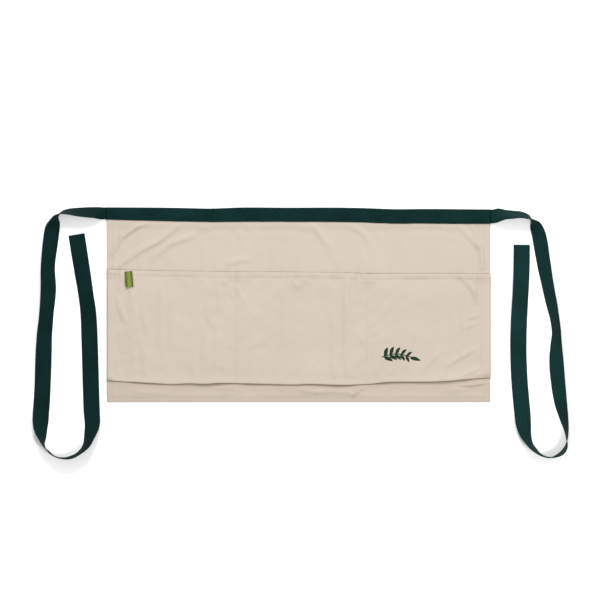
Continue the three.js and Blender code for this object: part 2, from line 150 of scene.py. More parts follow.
def noise_on(tree, vector, scale, stretch=(1, 1, 1), detail=2.0, roughness=0.5):
    """Noise with its coordinates stretched: scale is in features per metre."""
    mapping = add_node(tree, "ShaderNodeMapping", {"Vector": vector, "Scale": stretch})
    inputs = {"Vector": mapping.outputs[0], "Scale": scale, "Detail": detail,
              "Roughness": roughness}
    return add_node(tree, "ShaderNodeTexNoise", inputs).outputs["Fac"]


def tinted(tree, fac, low, high, dark, light):
    """A colour that runs from dark to light as fac goes from low to high."""
    share = add_node(tree, "ShaderNodeMapRange",
                     {"Value": fac, "From Min": low, "From Max": high}).outputs[0]
    return add_node(tree, "ShaderNodeMix", {"Factor": share, "A": (*dark, 1), "B": (*light, 1)},
                    data_type="RGBA").outputs["Result"]


def mix_colours(tree, mode, fac, a, b):
    node = tree.nodes.new("ShaderNodeMix")
    node.data_type = "RGBA"
    node.blend_type = mode
    colours = [socket for socket in node.inputs if socket.type == "RGBA"]
    for socket, value in zip([node.inputs["Factor"], *colours], (fac, a, b)):
        if isinstance(value, bpy.types.NodeSocket):
            tree.links.new(value, socket)
        else:
            socket.default_value = value
    return next(socket for socket in node.outputs if socket.type == "RGBA")


def cut_lengths(tree):
    """The cut cloth's UV map, and its two lengths in metres."""
    uv = add_node(tree, "ShaderNodeUVMap", uv_map="cut").outputs[0]
    split = add_node(tree, "ShaderNodeSeparateXYZ", {"Vector": uv})
    return uv, split.outputs[0], split.outputs[1]


def wave(tree, value, length):
    """A sine with one turn every length metres."""
    return calc(tree, "SINE", calc(tree, "MULTIPLY", value, 2 * math.pi / length))


def weighted(tree, a, weight_a, b, weight_b):
    return calc(tree, "ADD", calc(tree, "MULTIPLY", a, weight_a),
                calc(tree, "MULTIPLY", b, weight_b))


def scaled(colour, factor):
    return tuple(min(1.0, c * factor) for c in colour)


def dress(tree, shader, colour, height, strength, distance, sockets):
    """Joins the colour and a bump to the shader, and sets its plain sockets."""
    tree.links.new(colour, shader.inputs["Base Color"])
    bump = add_node(tree, "ShaderNodeBump",
                    {"Height": height, "Strength": strength, "Distance": distance})
    tree.links.new(bump.outputs[0], shader.inputs["Normal"])
    for key, value in sockets.items():
        shader.inputs[key].default_value = value


print("helpers ready")

# %% Canvas and thread
def woven_canvas(name, colour, thread_pitch=0.0009):
    """Plain weave with slubs, a slow drift of tone, and the painted shade of each point."""
    material, tree, shader = new_material(name)
    uv, u, v = cut_lengths(tree)
    across = wave(tree, u, 2 * thread_pitch)
    along = wave(tree, v, 2 * thread_pitch)
    on_top = calc(tree, "GREATER_THAN", calc(tree, "MULTIPLY", across, along), 0.0)
    warp = calc(tree, "MULTIPLY", calc(tree, "ABSOLUTE", across), on_top)
    weft = calc(tree, "MULTIPLY", calc(tree, "ABSOLUTE", along), calc(tree, "SUBTRACT", 1.0, on_top))
    weave = calc(tree, "ADD", warp, weft)
    slubs = calc(tree, "MAXIMUM", noise_on(tree, uv, 1.0, (700, 22, 1)),
                 noise_on(tree, uv, 1.0, (22, 700, 1)))
    toned = tinted(tree, slubs, 0.35, 0.85, scaled(colour, 1.012), scaled(colour, 0.975))
    drift = noise_on(tree, uv, 9.0, detail=3.0)
    cloud = tinted(tree, drift, 0.3, 0.7, (0.965, 0.96, 0.95), (1.0, 1.0, 1.0))
    toned = mix_colours(tree, "MULTIPLY", 1.0, toned, cloud)
    # The shade attribute is painted shade, multiplied into the colour with a warm tint.
    shade = add_node(tree, "ShaderNodeAttribute", attribute_name="shade").outputs["Fac"]
    warm_painted_shade = add_node(tree, "ShaderNodeCombineXYZ", {
        "X": calc(tree, "POWER", shade, 0.85), "Y": shade, "Z": calc(tree, "POWER", shade, 1.2)})
    toned = mix_colours(tree, "MULTIPLY", 1.0, toned, warm_painted_shade.outputs[0])
    dress(tree, shader, toned, weighted(tree, weave, 0.7, slubs, 0.3), 0.35, 0.0003,
          {"Roughness": 0.9, "Specular IOR Level": 0.2,
           "Sheen Weight": 0.12, "Sheen Roughness": 0.5})
    return material


def green_twill(name, colour, rib_pitch=0.0008):
    """Twill has fine ribs that run slantwise over it."""
    material, tree, shader = new_material(name)
    uv, u, v = cut_lengths(tree)
    ribs = wave(tree, calc(tree, "ADD", u, v), rib_pitch)
    slubs = noise_on(tree, uv, 1.0, (900, 35, 1))
    drift = noise_on(tree, uv, 22.0, detail=3.0)
    toned = tinted(tree, weighted(tree, slubs, 0.5, drift, 0.5), 0.35, 0.65,
                   scaled(colour, 0.72), scaled(colour, 1.22))
    dress(tree, shader, toned, weighted(tree, ribs, 0.5, slubs, 1.0), 0.4, 0.0002,
          {"Roughness": 0.8, "Specular IOR Level": 0.06,
           "Sheen Weight": 0.01, "Sheen Roughness": 0.4})
    return material


def sewing_thread(name, colour, plies=0.0006):
    """Twisted thread, its plies as slanting lines on the piece's own coordinates."""
    material, tree, shader = new_material(name)
    place = add_node(tree, "ShaderNodeTexCoord").outputs["Object"]
    split = add_node(tree, "ShaderNodeSeparateXYZ", {"Vector": place})
    twist = wave(tree, calc(tree, "ADD", split.outputs[0], split.outputs[1]), plies)
    toned = tinted(tree, noise_on(tree, place, 60.0), 0.35, 0.65,
                   scaled(colour, 0.8), scaled(colour, 1.15))
    dress(tree, shader, toned, twist, 0.5, 0.0001,
          {"Roughness": 0.6, "Specular IOR Level": 0.15})
    return material


PANEL_COLOUR = (0.428, 0.369, 0.309)
POCKET_COLOUR = (0.424, 0.367, 0.308)
GREEN = (0.0018, 0.0157, 0.0150)
# The two ties are one green cloth: the left tie's colour is darkened as painted shade, and the right
# tie's is lightened as painted light.
LEFT_GREEN_PAINTED_SHADE = scaled(GREEN, 0.82)
RIGHT_GREEN_PAINTED_LIGHT = (0.0036, 0.0215, 0.0205)

panel_canvas = woven_canvas("panel canvas", PANEL_COLOUR)
pocket_canvas = woven_canvas("pocket canvas", POCKET_COLOUR)
band_twill = green_twill("waistband twill", GREEN)
left_twill_painted_shade = green_twill("left tie twill painted shade", LEFT_GREEN_PAINTED_SHADE)
right_twill_painted_light = green_twill("right tie twill painted light", RIGHT_GREEN_PAINTED_LIGHT)
natural_thread = sewing_thread("natural thread", (0.42, 0.36, 0.295))
green_thread = sewing_thread("green thread", (0.003, 0.021, 0.020))
olive_thread = sewing_thread("olive thread", (0.065, 0.09, 0.003))
sprig_thread = sewing_thread("embroidery thread", (0.006, 0.026, 0.010))
print("cloth and thread materials made")

# %% [markdown]
# ## Helpers for sheets and strips
# Every cloth piece here starts as a flat grid from `create_grid`, and each grid point is then
# put where that bit of the cut cloth ends up. A fold, a hem or a twist is only a rule from the
# flat cut to the sewn place, and the flat measurements become the UV map.

# %% Grid helpers
def set_cut(bm, spot, cut_of):
    """Fills the UV map with each grid point's place on the cut cloth."""
    cut = bm.loops.layers.uv["cut"]
    for face in bm.faces:
        for loop in face.loops:
            loop[cut].uv = cut_of(*spot[loop.vert])


def cloth_grid(columns, rows, place):
    """A bmesh grid whose points are put by place(column, row), with the UV map of the cut."""
    bm = bmesh.new()
    across, up = len(columns) - 1, len(rows) - 1
    bmesh.ops.create_grid(bm, x_segments=across, y_segments=up, size=0.5)
    spot = {}
    for vert in bm.verts:
        i = round((vert.co.x + 0.5) * across)
        j = round((vert.co.y + 0.5) * up)
        spot[vert] = (columns[i], rows[j])
    bm.loops.layers.uv.new("cut")
    set_cut(bm, spot, lambda column, row: (column, row))
    for vert, (column, row) in spot.items():
        vert.co = place(column, row)
    return bm, spot


def make_object(name, bm, material):
    mesh = bpy.data.meshes.new(name)
    bm.to_mesh(mesh)
    bm.free()
    mesh.polygons.foreach_set("use_smooth", [True] * len(mesh.polygons))
    piece = bpy.data.objects.new(name, mesh)
    piece.data.materials.append(material)
    bpy.context.collection.objects.link(piece)
    return piece


def apply_modifiers(piece):
    """Replaces the piece's mesh by what its modifiers make of it."""
    depsgraph = bpy.context.evaluated_depsgraph_get()
    finished = bpy.data.meshes.new_from_object(piece.evaluated_get(depsgraph))
    piece.modifiers.clear()
    piece.data = finished


def thicken(piece, thickness=CLOTH):
    solid = piece.modifiers.new("thickness", "SOLIDIFY")
    solid.thickness = thickness
    solid.offset = 0
    apply_modifiers(piece)


def spaced(low, high, step):
    count = max(1, round((high - low) / step))
    return [low + (high - low) * i / count for i in range(count + 1)]


def spaced_through(stops, steps):
    """Numbers from the first stop to the last, with a step of its own between each two."""
    line = []
    for low, high, step in zip(stops, stops[1:], steps):
        line += spaced(low, high, step)[:-1]
    return [*line, stops[-1]]


def soft_step(value, low, high):
    share = min(1.0, max(0.0, (value - low) / (high - low)))
    return share * share * (3 - 2 * share)


def bell(distance, width):
    return math.exp(-((distance / width) ** 2))


def say(piece):
    print(piece.name, "has", len(piece.data.polygons), "faces")


def sewn_to_apron(piece, node):
    """Hides the piece's imported part, and hangs the finished piece on the apron's body so it moves
    with it.
    """
    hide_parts(node)
    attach(piece, "apron")
    say(piece)


print("grid helpers ready")

# %% [markdown]
# ## The ties' routes
# Each tie leaves the waistband, turns over at the corner, runs down beside the apron, stands
# on edge round a hairpin and comes back up. These are the points that the CAD solids follow:
# out from the panel's edge, up from the band's middle, and how far the strip has turned about
# its own line. Only the first two are lifted off the table.

# %% Tie routes
LEFT_ROUTE = [
    (0, 0, 0), (0.006, 0, 3), (0.017, 0.002, 34), (0.036, 0.0036, 52), (0.049, 0.0044, 59),
    (0.0615, 0.0047, 68), (0.0715, 0.0025, 82), (0.0785, -0.0035, 104), (0.0815, -0.013, 131),
    (0.0848, -0.0225, 150), (0.0878, -0.0415, 156), (0.0918, -0.0795, 146), (0.0916, -0.118, 157),
    (0.0942, -0.156, 148), (0.0978, -0.194, 157), (0.1, -0.2465, 176), (0.1018, -0.2895, 180),
    (0.1038, -0.323, 170), (0.1031, -0.34, 142), (0.1007, -0.3535, 117), (0.0985, -0.3655, 93),
    (0.09, -0.3765, 80), (0.0795, -0.384, 87), (0.066, -0.3865, 94), (0.051, -0.3833, 100),
    (0.0395, -0.3755, 105), (0.031, -0.3655, 117), (0.0256, -0.3495, 137), (0.0217, -0.333, 160),
    (0.0229, -0.308, 178), (0.0242, -0.268, 180), (0.0257, -0.213, 180), (0.028, -0.156, 168),
    (0.0318, -0.127, 162), (0.0408, -0.07, 174), (0.047, -0.0312, 180),
]
RIGHT_ROUTE = [
    (0, 0, 0), (0.006, 0, 12), (0.02, 0.0004, 49), (0.0345, 0, 59), (0.047, 0, 64),
    (0.059, -0.0036, 73), (0.0652, -0.009, 97), (0.0698, -0.016, 128), (0.0742, -0.026, 141),
    (0.0778, -0.0415, 148), (0.0822, -0.07, 144), (0.0889, -0.108, 134), (0.097, -0.1465, 127),
    (0.1033, -0.1845, 118), (0.1033, -0.204, 128), (0.1037, -0.232, 146), (0.1058, -0.261, 148),
    (0.1102, -0.299, 136), (0.1143, -0.318, 122), (0.1185, -0.3375, 105), (0.1198, -0.3555, 90),
    (0.1191, -0.366, 76), (0.1145, -0.3755, 70), (0.105, -0.3823, 76), (0.091, -0.3852, 88),
    (0.078, -0.3807, 97), (0.0715, -0.3754, 104), (0.0627, -0.3655, 114), (0.0574, -0.355, 129),
    (0.0538, -0.345, 144), (0.0517, -0.334, 161), (0.0501, -0.316, 178), (0.0459, -0.27, 180),
    (0.0438, -0.223, 180), (0.0444, -0.17, 176), (0.0472, -0.12, 174), (0.0487, -0.08, 178),
    (0.049, -0.0475, 180),
]
ROOT_LIFTS = {-1: [0.0005, 0.0004], 1: [0.0005, 0.0002]}
TIE_WIDTH = 0.026
TIE_THICKNESS = 0.0014
TIE_AND_SEWING = 0.0026
print("routes of", len(LEFT_ROUTE), "and", len(RIGHT_ROUTE), "points")

# %% [markdown]
# ## Sweeping a flat strip
# A curve object with a bevel can twist, but it can't thin a strip's folded edges or sink a
# line of sewing into it. So the strip is a grid again: its columns go once round the section,
# its rows are steps along the route, and the two ends of the round are merged.

# %% Route and section of a tie
TIE_STEP = 0.002
LINE_SAMPLES = 4000


def spline(points, share, even):
    """A point of the smooth curve through points. even picks plain spacing over chord length."""
    last = len(points) - 1
    at = min(last - 1e-9, max(0.0, share * last))
    i = int(at)
    t = at - i
    p1, p2 = points[i], points[i + 1]
    p0 = points[i - 1] if i > 0 else 2 * p1 - p2
    p3 = points[i + 2] if i + 2 <= last else 2 * p2 - p1
    if even:
        a, b = 0.5 * (p2 - p0), 0.5 * (p3 - p1)
    else:
        d0, d1, d2 = (max(1e-5, float(np.linalg.norm(q - p)) ** 0.5)
                      for p, q in ((p0, p1), (p1, p2), (p2, p3)))
        a = ((p1 - p0) / d0 - (p2 - p0) / (d0 + d1) + (p2 - p1) / d1) * d1
        b = ((p2 - p1) / d1 - (p3 - p1) / (d1 + d2) + (p3 - p2) / d2) * d1
    return p1 + a * t + (3 * (p2 - p1) - 2 * a - b) * t**2 + (2 * (p1 - p2) + a + b) * t**3


def tie_stations(route, side):
    """Points, tangents and turns every TIE_STEP along a tie. The lower edge stays on the
    surface, so the middle of the strip rises as it turns on edge."""
    flat = np.array([[side * (tie_root + out), tie_middle + up] for out, up, _ in route])
    lifts = ROOT_LIFTS[side] + [0] * (len(route) - len(ROOT_LIFTS[side]))
    poses = np.array([[turn, lift] for (_, _, turn), lift in zip(route, lifts)], float)
    shares = np.linspace(0, 1, LINE_SAMPLES)
    line = np.array([spline(flat, share, False) for share in shares])
    travelled = np.concatenate([[0], np.cumsum(np.linalg.norm(np.diff(line, axis=0), axis=1))])
    count = round(travelled[-1] / TIE_STEP)
    at = np.interp(np.linspace(0, travelled[-1], count + 1), travelled, shares)
    turned, lifts = np.array([spline(poses, share, True) for share in at]).T
    angles = np.radians(turned)
    rise = (TIE_WIDTH * abs(np.sin(angles)) + TIE_AND_SEWING * abs(np.cos(angles))) / 2 + lifts
    points = np.column_stack([np.array([spline(flat, share, False) for share in at]), rise])
    headings = np.gradient(points[:, :2], axis=0)
    headings /= np.linalg.norm(headings, axis=1)[:, None]
    steps = np.linalg.norm(np.diff(points, axis=0), axis=1)
    return points, headings, turned, np.concatenate([[0], np.cumsum(steps)])


left_stations = tie_stations(LEFT_ROUTE, -1)
right_stations = tie_stations(RIGHT_ROUTE, 1)
print("ties are", round(left_stations[3][-1], 3), "and", round(right_stations[3][-1], 3), "m long")

# %% Sweep the ties
SEAM_SHARE = 0.81
SEAM_SPREAD = 0.07
SECTION_STEPS = 22
BAND_END = {-1: 0.0190, 1: 0.0218}
ROOT_SHIFT = {-1: 0.0024, 1: -0.0027}
ROOT_FADE = {-1: 0.045, 1: 0.020}
BAND_GAP = 0.0008


def tie_frame(heading, turn, side):
    """Unit vectors across the strip and out of its front, at one station."""
    outward = np.array((-side * heading[1], side * heading[0], 0))
    up = np.array((0, 0, 1.0))
    angle = math.radians(turn)
    front = math.cos(angle) * up + math.sin(angle) * outward
    across = math.cos(angle) * outward - math.sin(angle) * up
    return side * across, front


def half_thickness(share):
    """Half the strip's thickness at a share of its half width: full, with rounded edges, and
    pulled in where the sewing holds the folded layers together."""
    round_edge = math.sqrt(max(0.0, 1 - abs(share) ** 9))
    sewn = bell(share + SEAM_SHARE, SEAM_SPREAD)
    return TIE_THICKNESS / 2 * round_edge * (1 - 0.38 * sewn)


def section_shares():
    """Places across the strip, from 1 to -1: close at its edges and at its line of sewing."""
    shares = [math.cos(math.pi * i / SECTION_STEPS) for i in range(SECTION_STEPS + 1)]
    extra = [-SEAM_SHARE, -SEAM_SHARE - SEAM_SPREAD, -SEAM_SHARE + SEAM_SPREAD]
    return sorted(set([round(s, 4) for s in shares + extra]), reverse=True)


def tie_surface(stations, side, i, share, face, lift=0.0):
    """A point of the strip at station i. Near the band it narrows to the band's end."""
    points, tangents, turned, wanted = stations
    across, front = tie_frame(tangents[i], turned[i], side)
    root = 1 - soft_step(wanted[i], 0.0, ROOT_FADE[side])
    width = TIE_WIDTH + (BAND_END[side] - TIE_WIDTH) * root
    ripple = 0.0006 * noise.noise((wanted[i] * 42, share * 1.3, 7.0 * side))
    cup = 0.0011 * noise.noise((wanted[i] * 16, 3.0, side)) * (share * share - 0.4)
    out = face * (half_thickness(share) * (1 + 0.7 * root) + lift) + (ripple + cup) * (1 - root)
    middle = points[i] + np.array((0, ROOT_SHIFT[side] * root, 0))
    if i == 0:
        middle[0] -= side * BAND_GAP
    return Vector(middle + across * (share * width / 2) + front * out)


def make_tie(name, stations, side, twill):
    shares = section_shares()
    round_trip = [(share, 1) for share in shares] + [(share, -1) for share in shares[-2::-1]]

    def place(column, row):
        share, face = round_trip[column]
        return tie_surface(stations, side, row, share, face)

    bm, spot = cloth_grid(list(range(len(round_trip))), list(range(len(stations[3]))), place)
    set_cut(bm, spot, lambda column, row: (round_trip[column][0] * TIE_WIDTH / 2,
                                           stations[3][row]))
    bmesh.ops.remove_doubles(bm, verts=bm.verts, dist=1e-6)
    ends = [edge for edge in bm.edges if edge.is_boundary]
    bmesh.ops.holes_fill(bm, edges=ends, sides=0)
    bmesh.ops.recalc_face_normals(bm, faces=bm.faces)
    return make_object(name, bm, twill)


left_strip = make_tie("green_tie_left", left_stations, -1, left_twill_painted_shade)
right_strip = make_tie("green_tie_right", right_stations, 1, right_twill_painted_light)
say(left_strip)
say(right_strip)

# %% [markdown]
# ## Stitches
# A line of lockstitch shows as short, plump threads that dive into the cloth at both ends.
# One low sphere stretched along the seam is enough for each, because there are hundreds.
# Each is laid on the cloth it holds, and sunk a little.

# %% Stitch helpers
STITCH_PITCH = 0.0034
STITCH_LENGTH = 0.0029
STITCH_WIDTH = 0.00045
ON_TOP = 0.0001
SIDE_SEWING_ENDS = 0.011
END_SEWING = 0.009
POLES_ALONG = Matrix.Rotation(math.pi / 2, 4, "Y")


def add_stitch(bm, middle, along, normal, length=STITCH_LENGTH, width=STITCH_WIDTH):
    along = Vector(along).normalized()
    normal = Vector(normal)
    side = normal.cross(along).normalized()
    up = along.cross(side)
    turn = Matrix((along, side, up)).transposed().to_4x4()
    size = Matrix.Diagonal((length, width, width * 0.8, 1))
    spot = Matrix.Translation(Vector(middle))
    bmesh.ops.create_uvsphere(bm, u_segments=6, v_segments=4, radius=0.5,
                              matrix=spot @ turn @ size @ POLES_ALONG)


def stitch_line(name, stops, material, **size):
    """stops are (middle, direction, normal) of each stitch."""
    bm = bmesh.new()
    for middle, along, normal in stops:
        add_stitch(bm, middle, along, normal, **size)
    return make_object(name, bm, material)


def tie_stitches(name, stations, side):
    stops = []
    last = len(stations[3]) - 1
    step = STITCH_PITCH / (stations[3][-1] / last)
    i = 1.0
    while i < last - SIDE_SEWING_ENDS / TIE_STEP:
        k = int(i)
        here, ahead = (tie_surface(stations, side, at, -SEAM_SHARE, 1, ON_TOP) for at in (k, k + 1))
        _, front = tie_frame(stations[1][k], stations[2][k], side)
        stops.append((here.lerp(ahead, i - k), ahead - here, front))
        i += step
    return stitch_line(name, stops, green_thread)


def tie_end_stitches(name, stations, side):
    k = len(stations[3]) - 1 - round(END_SEWING / TIE_STEP)
    across, front = tie_frame(stations[1][k], stations[2][k], side)
    stops = [(tie_surface(stations, side, k, share, 1, ON_TOP), across, front)
             for share in spaced(-0.86, 0.86, STITCH_PITCH / (TIE_WIDTH / 2))]
    return stitch_line(name, stops, green_thread)


tie_sewing = {}
for side, word, stations in ((-1, "left", left_stations), (1, "right", right_stations)):
    tie_sewing[word] = (tie_stitches(f"tie_stitches_{word}", stations, side),
                        tie_end_stitches(f"tie_end_stitches_{word}", stations, side))
    for piece in tie_sewing[word]:
        say(piece)

# %% [markdown]
# ## The ties' imported parts
# Each tie swings on a joint at the panel's edge. Here the imported tie parts are hidden, and
# each strip and its sewing keep the place they were built in; nothing bends them at the band.

# %% Hide the ties' parts and keep the pieces in place
for side, word, strip, stations in ((-1, "left", left_strip, left_stations),
                                    (1, "right", right_strip, right_stations)):
    body = f"{word}_tie"
    stitches, end_stitches = tie_sewing[word]
    for piece, node in ((strip, body), (stitches, f"{body}_stitch"),
                        (end_stitches, f"{body}_end_stitch")):
        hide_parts(node)
        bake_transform(piece)
    tuple(stations[0][0])
    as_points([tuple(point) for point in stations[0][:-4:4]] + [tuple(stations[0][-1])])
    print(word, "tie declared")

# %% [markdown]
# ## Floor and light
# A white sweep under broad, soft light. The key light comes from beyond the waistband, so
# that folds and seams throw a faint shade towards the hem.

# %% Floor and lights
floor_mesh = bmesh.new()
bmesh.ops.create_grid(floor_mesh, x_segments=1, y_segments=1, size=6)
floor_material, _, floor_shader = new_material("white table")
floor_shader.inputs["Base Color"].default_value = (0.93, 0.93, 0.93, 1)
floor_shader.inputs["Roughness"].default_value = 0.9
floor_shader.inputs["Specular IOR Level"].default_value = 0.1
floor = make_object("table", floor_mesh, floor_material)
floor.location.z = -0.0002

world = bpy.data.worlds.new("studio")
world.use_nodes = True
sky = world.node_tree.nodes["Background"]
sky.inputs["Color"].default_value = (1, 1, 1, 1)
sky.inputs["Strength"].default_value = 0.70
bpy.context.scene.world = world


def softbox(name, place, target, size, power):
    light = bpy.data.lights.new(name, "AREA")
    light.shape = "SQUARE"
    light.size = size
    light.energy = power
    lamp = bpy.data.objects.new(name, light)
    lamp.location = place
    lamp.rotation_euler = (Vector(target) - Vector(place)).to_track_quat("-Z", "Y").to_euler()
    bpy.context.collection.objects.link(lamp)


softbox("key", (-0.3, 2.3, 2.1), (0, -0.1, 0), 0.9, 88)
softbox("fill", (1.5, -1.1, 3.0), (0, 0, 0), 0.7, 60)
bpy.context.scene.view_settings.view_transform = "Standard"
print("floor and lights set")

# %% [markdown]
# ## Creases
# A few creases have a place of their own: the drag lines that run from the waistband's ends
# into the panel, the pressed line down the middle pocket, the pulls at the pockets' corners.
# Each is a short chain of points with a width and a height, and cloth near the chain is
# raised by a soft bell. Wandering noise gives the rest of the cloth its unrest.

# %% Crease helpers
CREASE_HEIGHT = 1.2
CREASE_WIDTH = 0.85


def crease_height(x, y, crease):
    """Height of one crease at a point: highest on its chain, and fading to its two ends."""
    points, width, height = crease
    best, share_at = 1e9, 0.0
    total = len(points) - 1
    for i in range(total):
        ax, ay = points[i]
        dx, dy = points[i + 1][0] - ax, points[i + 1][1] - ay
        t = ((x - ax) * dx + (y - ay) * dy) / (dx * dx + dy * dy)
        t = min(1.0, max(0.0, t))
        distance = math.hypot(x - ax - t * dx, y - ay - t * dy)
        if distance < best:
            best, share_at = distance, (i + t) / total
    fade = math.sin(math.pi * (0.08 + 0.84 * share_at)) ** 0.6
    return CREASE_HEIGHT * height * fade * bell(best, CREASE_WIDTH * width)


def all_creases(x, y, creases):
    return sum(crease_height(x, y, crease) for crease in creases)


def unrest(x, y, seed, size, height):
    """Slow swells and finer ripples, in metres of height."""
    slow = noise.noise((x / size, y / size, seed))
    fine = noise.noise((x / size * 2.7, y / size * 2.7, seed + 5))
    return height * (slow + 0.4 * fine)


def along(points, x):
    """A smooth line through listed (x, y) points, at x."""
    xs = [point[0] for point in points]
    last = len(xs) - 1
    i = min(last - 1, max(0, int(np.searchsorted(xs, x)) - 1))

    def slope(k):
        low, high = max(0, k - 1), min(last, k + 1)
        return (points[high][1] - points[low][1]) / (xs[high] - xs[low])

    step = xs[i + 1] - xs[i]
    t = min(1.0, max(0.0, (x - xs[i]) / step))
    y0, y1 = points[i][1], points[i + 1][1]
    bend0, bend1 = slope(i) * step - (y1 - y0), (y1 - y0) - slope(i + 1) * step
    return y0 + t * (y1 - y0) + t * (1 - t) * ((1 - t) * bend0 + t * bend1)


print("crease helpers ready")

# %% [markdown]
# ## Letting cloth settle
# A cloth simulation finds the drags that no one would draw: the cloth is a little longer than
# the gap between the seams that hold it, so it buckles beside them. Here a plain copy of the
# piece's face is simulated on a coarse grid, and the result is kept as a field of small
# shifts, which the fine sewn piece then adds to its own shape.

# %% Simulation helper
SETTLE_FRAMES = 26
SETTLE_STEP = 0.005
REST_GAP = 0.002
CONTACT = 0.001


def settle(columns, rows, place, ground, is_held, growth, bending):
    """The shift of each grid point after the cloth has come to rest on the ground."""
    shifts = np.zeros((len(columns), len(rows), 3))
    bm, spot = cloth_grid(columns, rows, place)
    order = [spot[vert] for vert in bm.verts]
    sheet = make_object("settling cloth", bm, panel_canvas)
    held = sheet.vertex_groups.new(name="held")
    held.add([k for k, at in enumerate(order) if is_held(*at)], 1.0, "REPLACE")
    lower, _ = cloth_grid(columns, rows, lambda c, r: place(c, r) * Vector((1, 1, 0))
                          + Vector((0, 0, ground(c, r) - REST_GAP)))
    bed = make_object("settling bed", lower, panel_canvas)
    bed.modifiers.new("bed", "COLLISION")
    bed.collision.thickness_outer = CONTACT
    bed.collision.cloth_friction = 20
    bed.collision.use_culling = False

    cloth = sheet.modifiers.new("cloth", "CLOTH")
    settings = cloth.settings
    settings.quality = 6
    settings.tension_stiffness = settings.compression_stiffness = 15
    settings.shear_stiffness = 5
    settings.bending_stiffness = bending
    settings.air_damping = 3
    settings.vertex_group_mass = "held"
    settings.shrink_min = settings.shrink_max = -growth
    cloth.collision_settings.distance_min = CONTACT
    cloth.point_cache.frame_start = 1
    cloth.point_cache.frame_end = SETTLE_FRAMES
    for frame_number in range(1, SETTLE_FRAMES + 1):
        bpy.context.scene.frame_set(frame_number)
    start = [vert.co.copy() for vert in sheet.data.vertices]
    apply_modifiers(sheet)
    for k, (column, row) in enumerate(order):
        shift = sheet.data.vertices[k].co - start[k]
        shifts[columns.index(column), rows.index(row)] = shift
    bpy.data.objects.remove(sheet)
    bpy.data.objects.remove(bed)
    bpy.context.scene.frame_set(1)
    return shifts


def soft_weights(t):
    """Weights of four neighbours that draw one smooth curve past them."""
    return np.array([(1 - t) ** 3, 3 * t**3 - 6 * t**2 + 4,
                     -3 * t**3 + 3 * t**2 + 3 * t + 1, t**3]) / 6


def shift_at(shifts, columns, rows, column, row):
    """The settled shift between the coarse grid's points."""
    picks = []
    for values, at in ((columns, column), (rows, row)):
        at = min(values[-1], max(values[0], at))
        i = min(len(values) - 2, max(0, int(np.searchsorted(values, at)) - 1))
        t = (at - values[i]) / (values[i + 1] - values[i])
        near = [min(len(values) - 1, max(0, i + k)) for k in (-1, 0, 1, 2)]
        picks.append((near, soft_weights(t)))
    (near_c, weight_c), (near_r, weight_r) = picks
    block = shifts[np.ix_(near_c, near_r)]
    return Vector(np.einsum("i,j,ijk->k", weight_c, weight_r, block))


print("settle helper ready")

# %% [markdown]
# ## Shade where cloth meets cloth
# The pocket's mouth and foot lie over the panel, and the canvas there is darkened as painted
# shade: a dark line under the foot and over the mouth, a darker strip below the foot, patches
# under the mouth's hem and at the foot's two ends. Every point carries a number, its shade,
# which the canvas material multiplies in.
# The two lines are listed, because the apron was sewn and pressed by hand.

# %% Pocket lines and shade
MOUTH_LINE = [
    (-0.305, 0.0555), (-0.245, 0.0538), (-0.190, 0.0529), (-0.106, 0.0513), (-0.060, 0.0515),
    (-0.009, 0.0511), (0.065, 0.0501), (0.108, 0.0486), (0.156, 0.0487), (0.230, 0.0489),
    (0.305, 0.0480),
]
FOOT_LINE = [
    (-0.305, -0.1201), (-0.280, -0.1217), (-0.230, -0.1245), (-0.201, -0.1261),
    (-0.173, -0.1248), (-0.151, -0.1258), (-0.125, -0.1244), (-0.065, -0.1254),
    (-0.008, -0.1268), (0.014, -0.1259), (0.071, -0.1273), (0.114, -0.1255), (0.142, -0.1228),
    (0.206, -0.1222), (0.235, -0.1211), (0.263, -0.1186), (0.292, -0.1161), (0.305, -0.1153),
]


def patchy(x, seed):
    """A slow wander between 0 and 1 along the apron."""
    return min(1.0, max(0.0, 0.5 + 1.1 * noise.noise((x * 14, seed, 0.5))))


def panel_shade(x, y):
    below = along(FOOT_LINE, x) - y
    above = y - along(MOUTH_LINE, x)
    # Painted shade: the strip below the pocket's foot a little darker, a dark line just under the
    # foot, and a dark line just over the mouth.
    shade = 1 - 0.09 * soft_step(below, -0.002, 0.001)
    shade -= (0.50 + 0.22 * patchy(x, 3.0)) * bell(below - 0.0002, 0.0011)
    shade -= 0.08 * bell(below, 0.004)
    shade -= (0.15 + 0.45 * patchy(x, 9.0)) * bell(above - 0.0002, 0.0009)
    return max(0.2, shade)


def pocket_shade(x, y):
    below = along(MOUTH_LINE, x) - y
    over_foot = y - along(FOOT_LINE, x)
    # Painted shade: patches just below the mouth's hem, and dark spots over the foot at its two
    # ends.
    shade = 1 - 0.11 * patchy(x * 1.6, 21.0) * bell(below - 0.006, 0.0032)
    shade -= 0.30 * bell(over_foot - 0.001, 0.002) * bell(x + 0.301, 0.007)
    shade -= 0.25 * bell(over_foot - 0.003, 0.003) * bell(x - 0.300, 0.006)
    return shade


def paint_shade(bm, tone):
    layer = bm.verts.layers.float.new("shade")
    for vert in bm.verts:
        vert[layer] = tone(vert.co.x, vert.co.y)


print("shade ready")

# %% [markdown]
# ## The panel
# The back panel is one cut of canvas with a double hem on its sides and foot: the edge is
# turned in and then turned again, three layers in all. The grid is wider than the panel, and
# whatever lies past an edge wraps round it: under the cloth, back out, and in between.

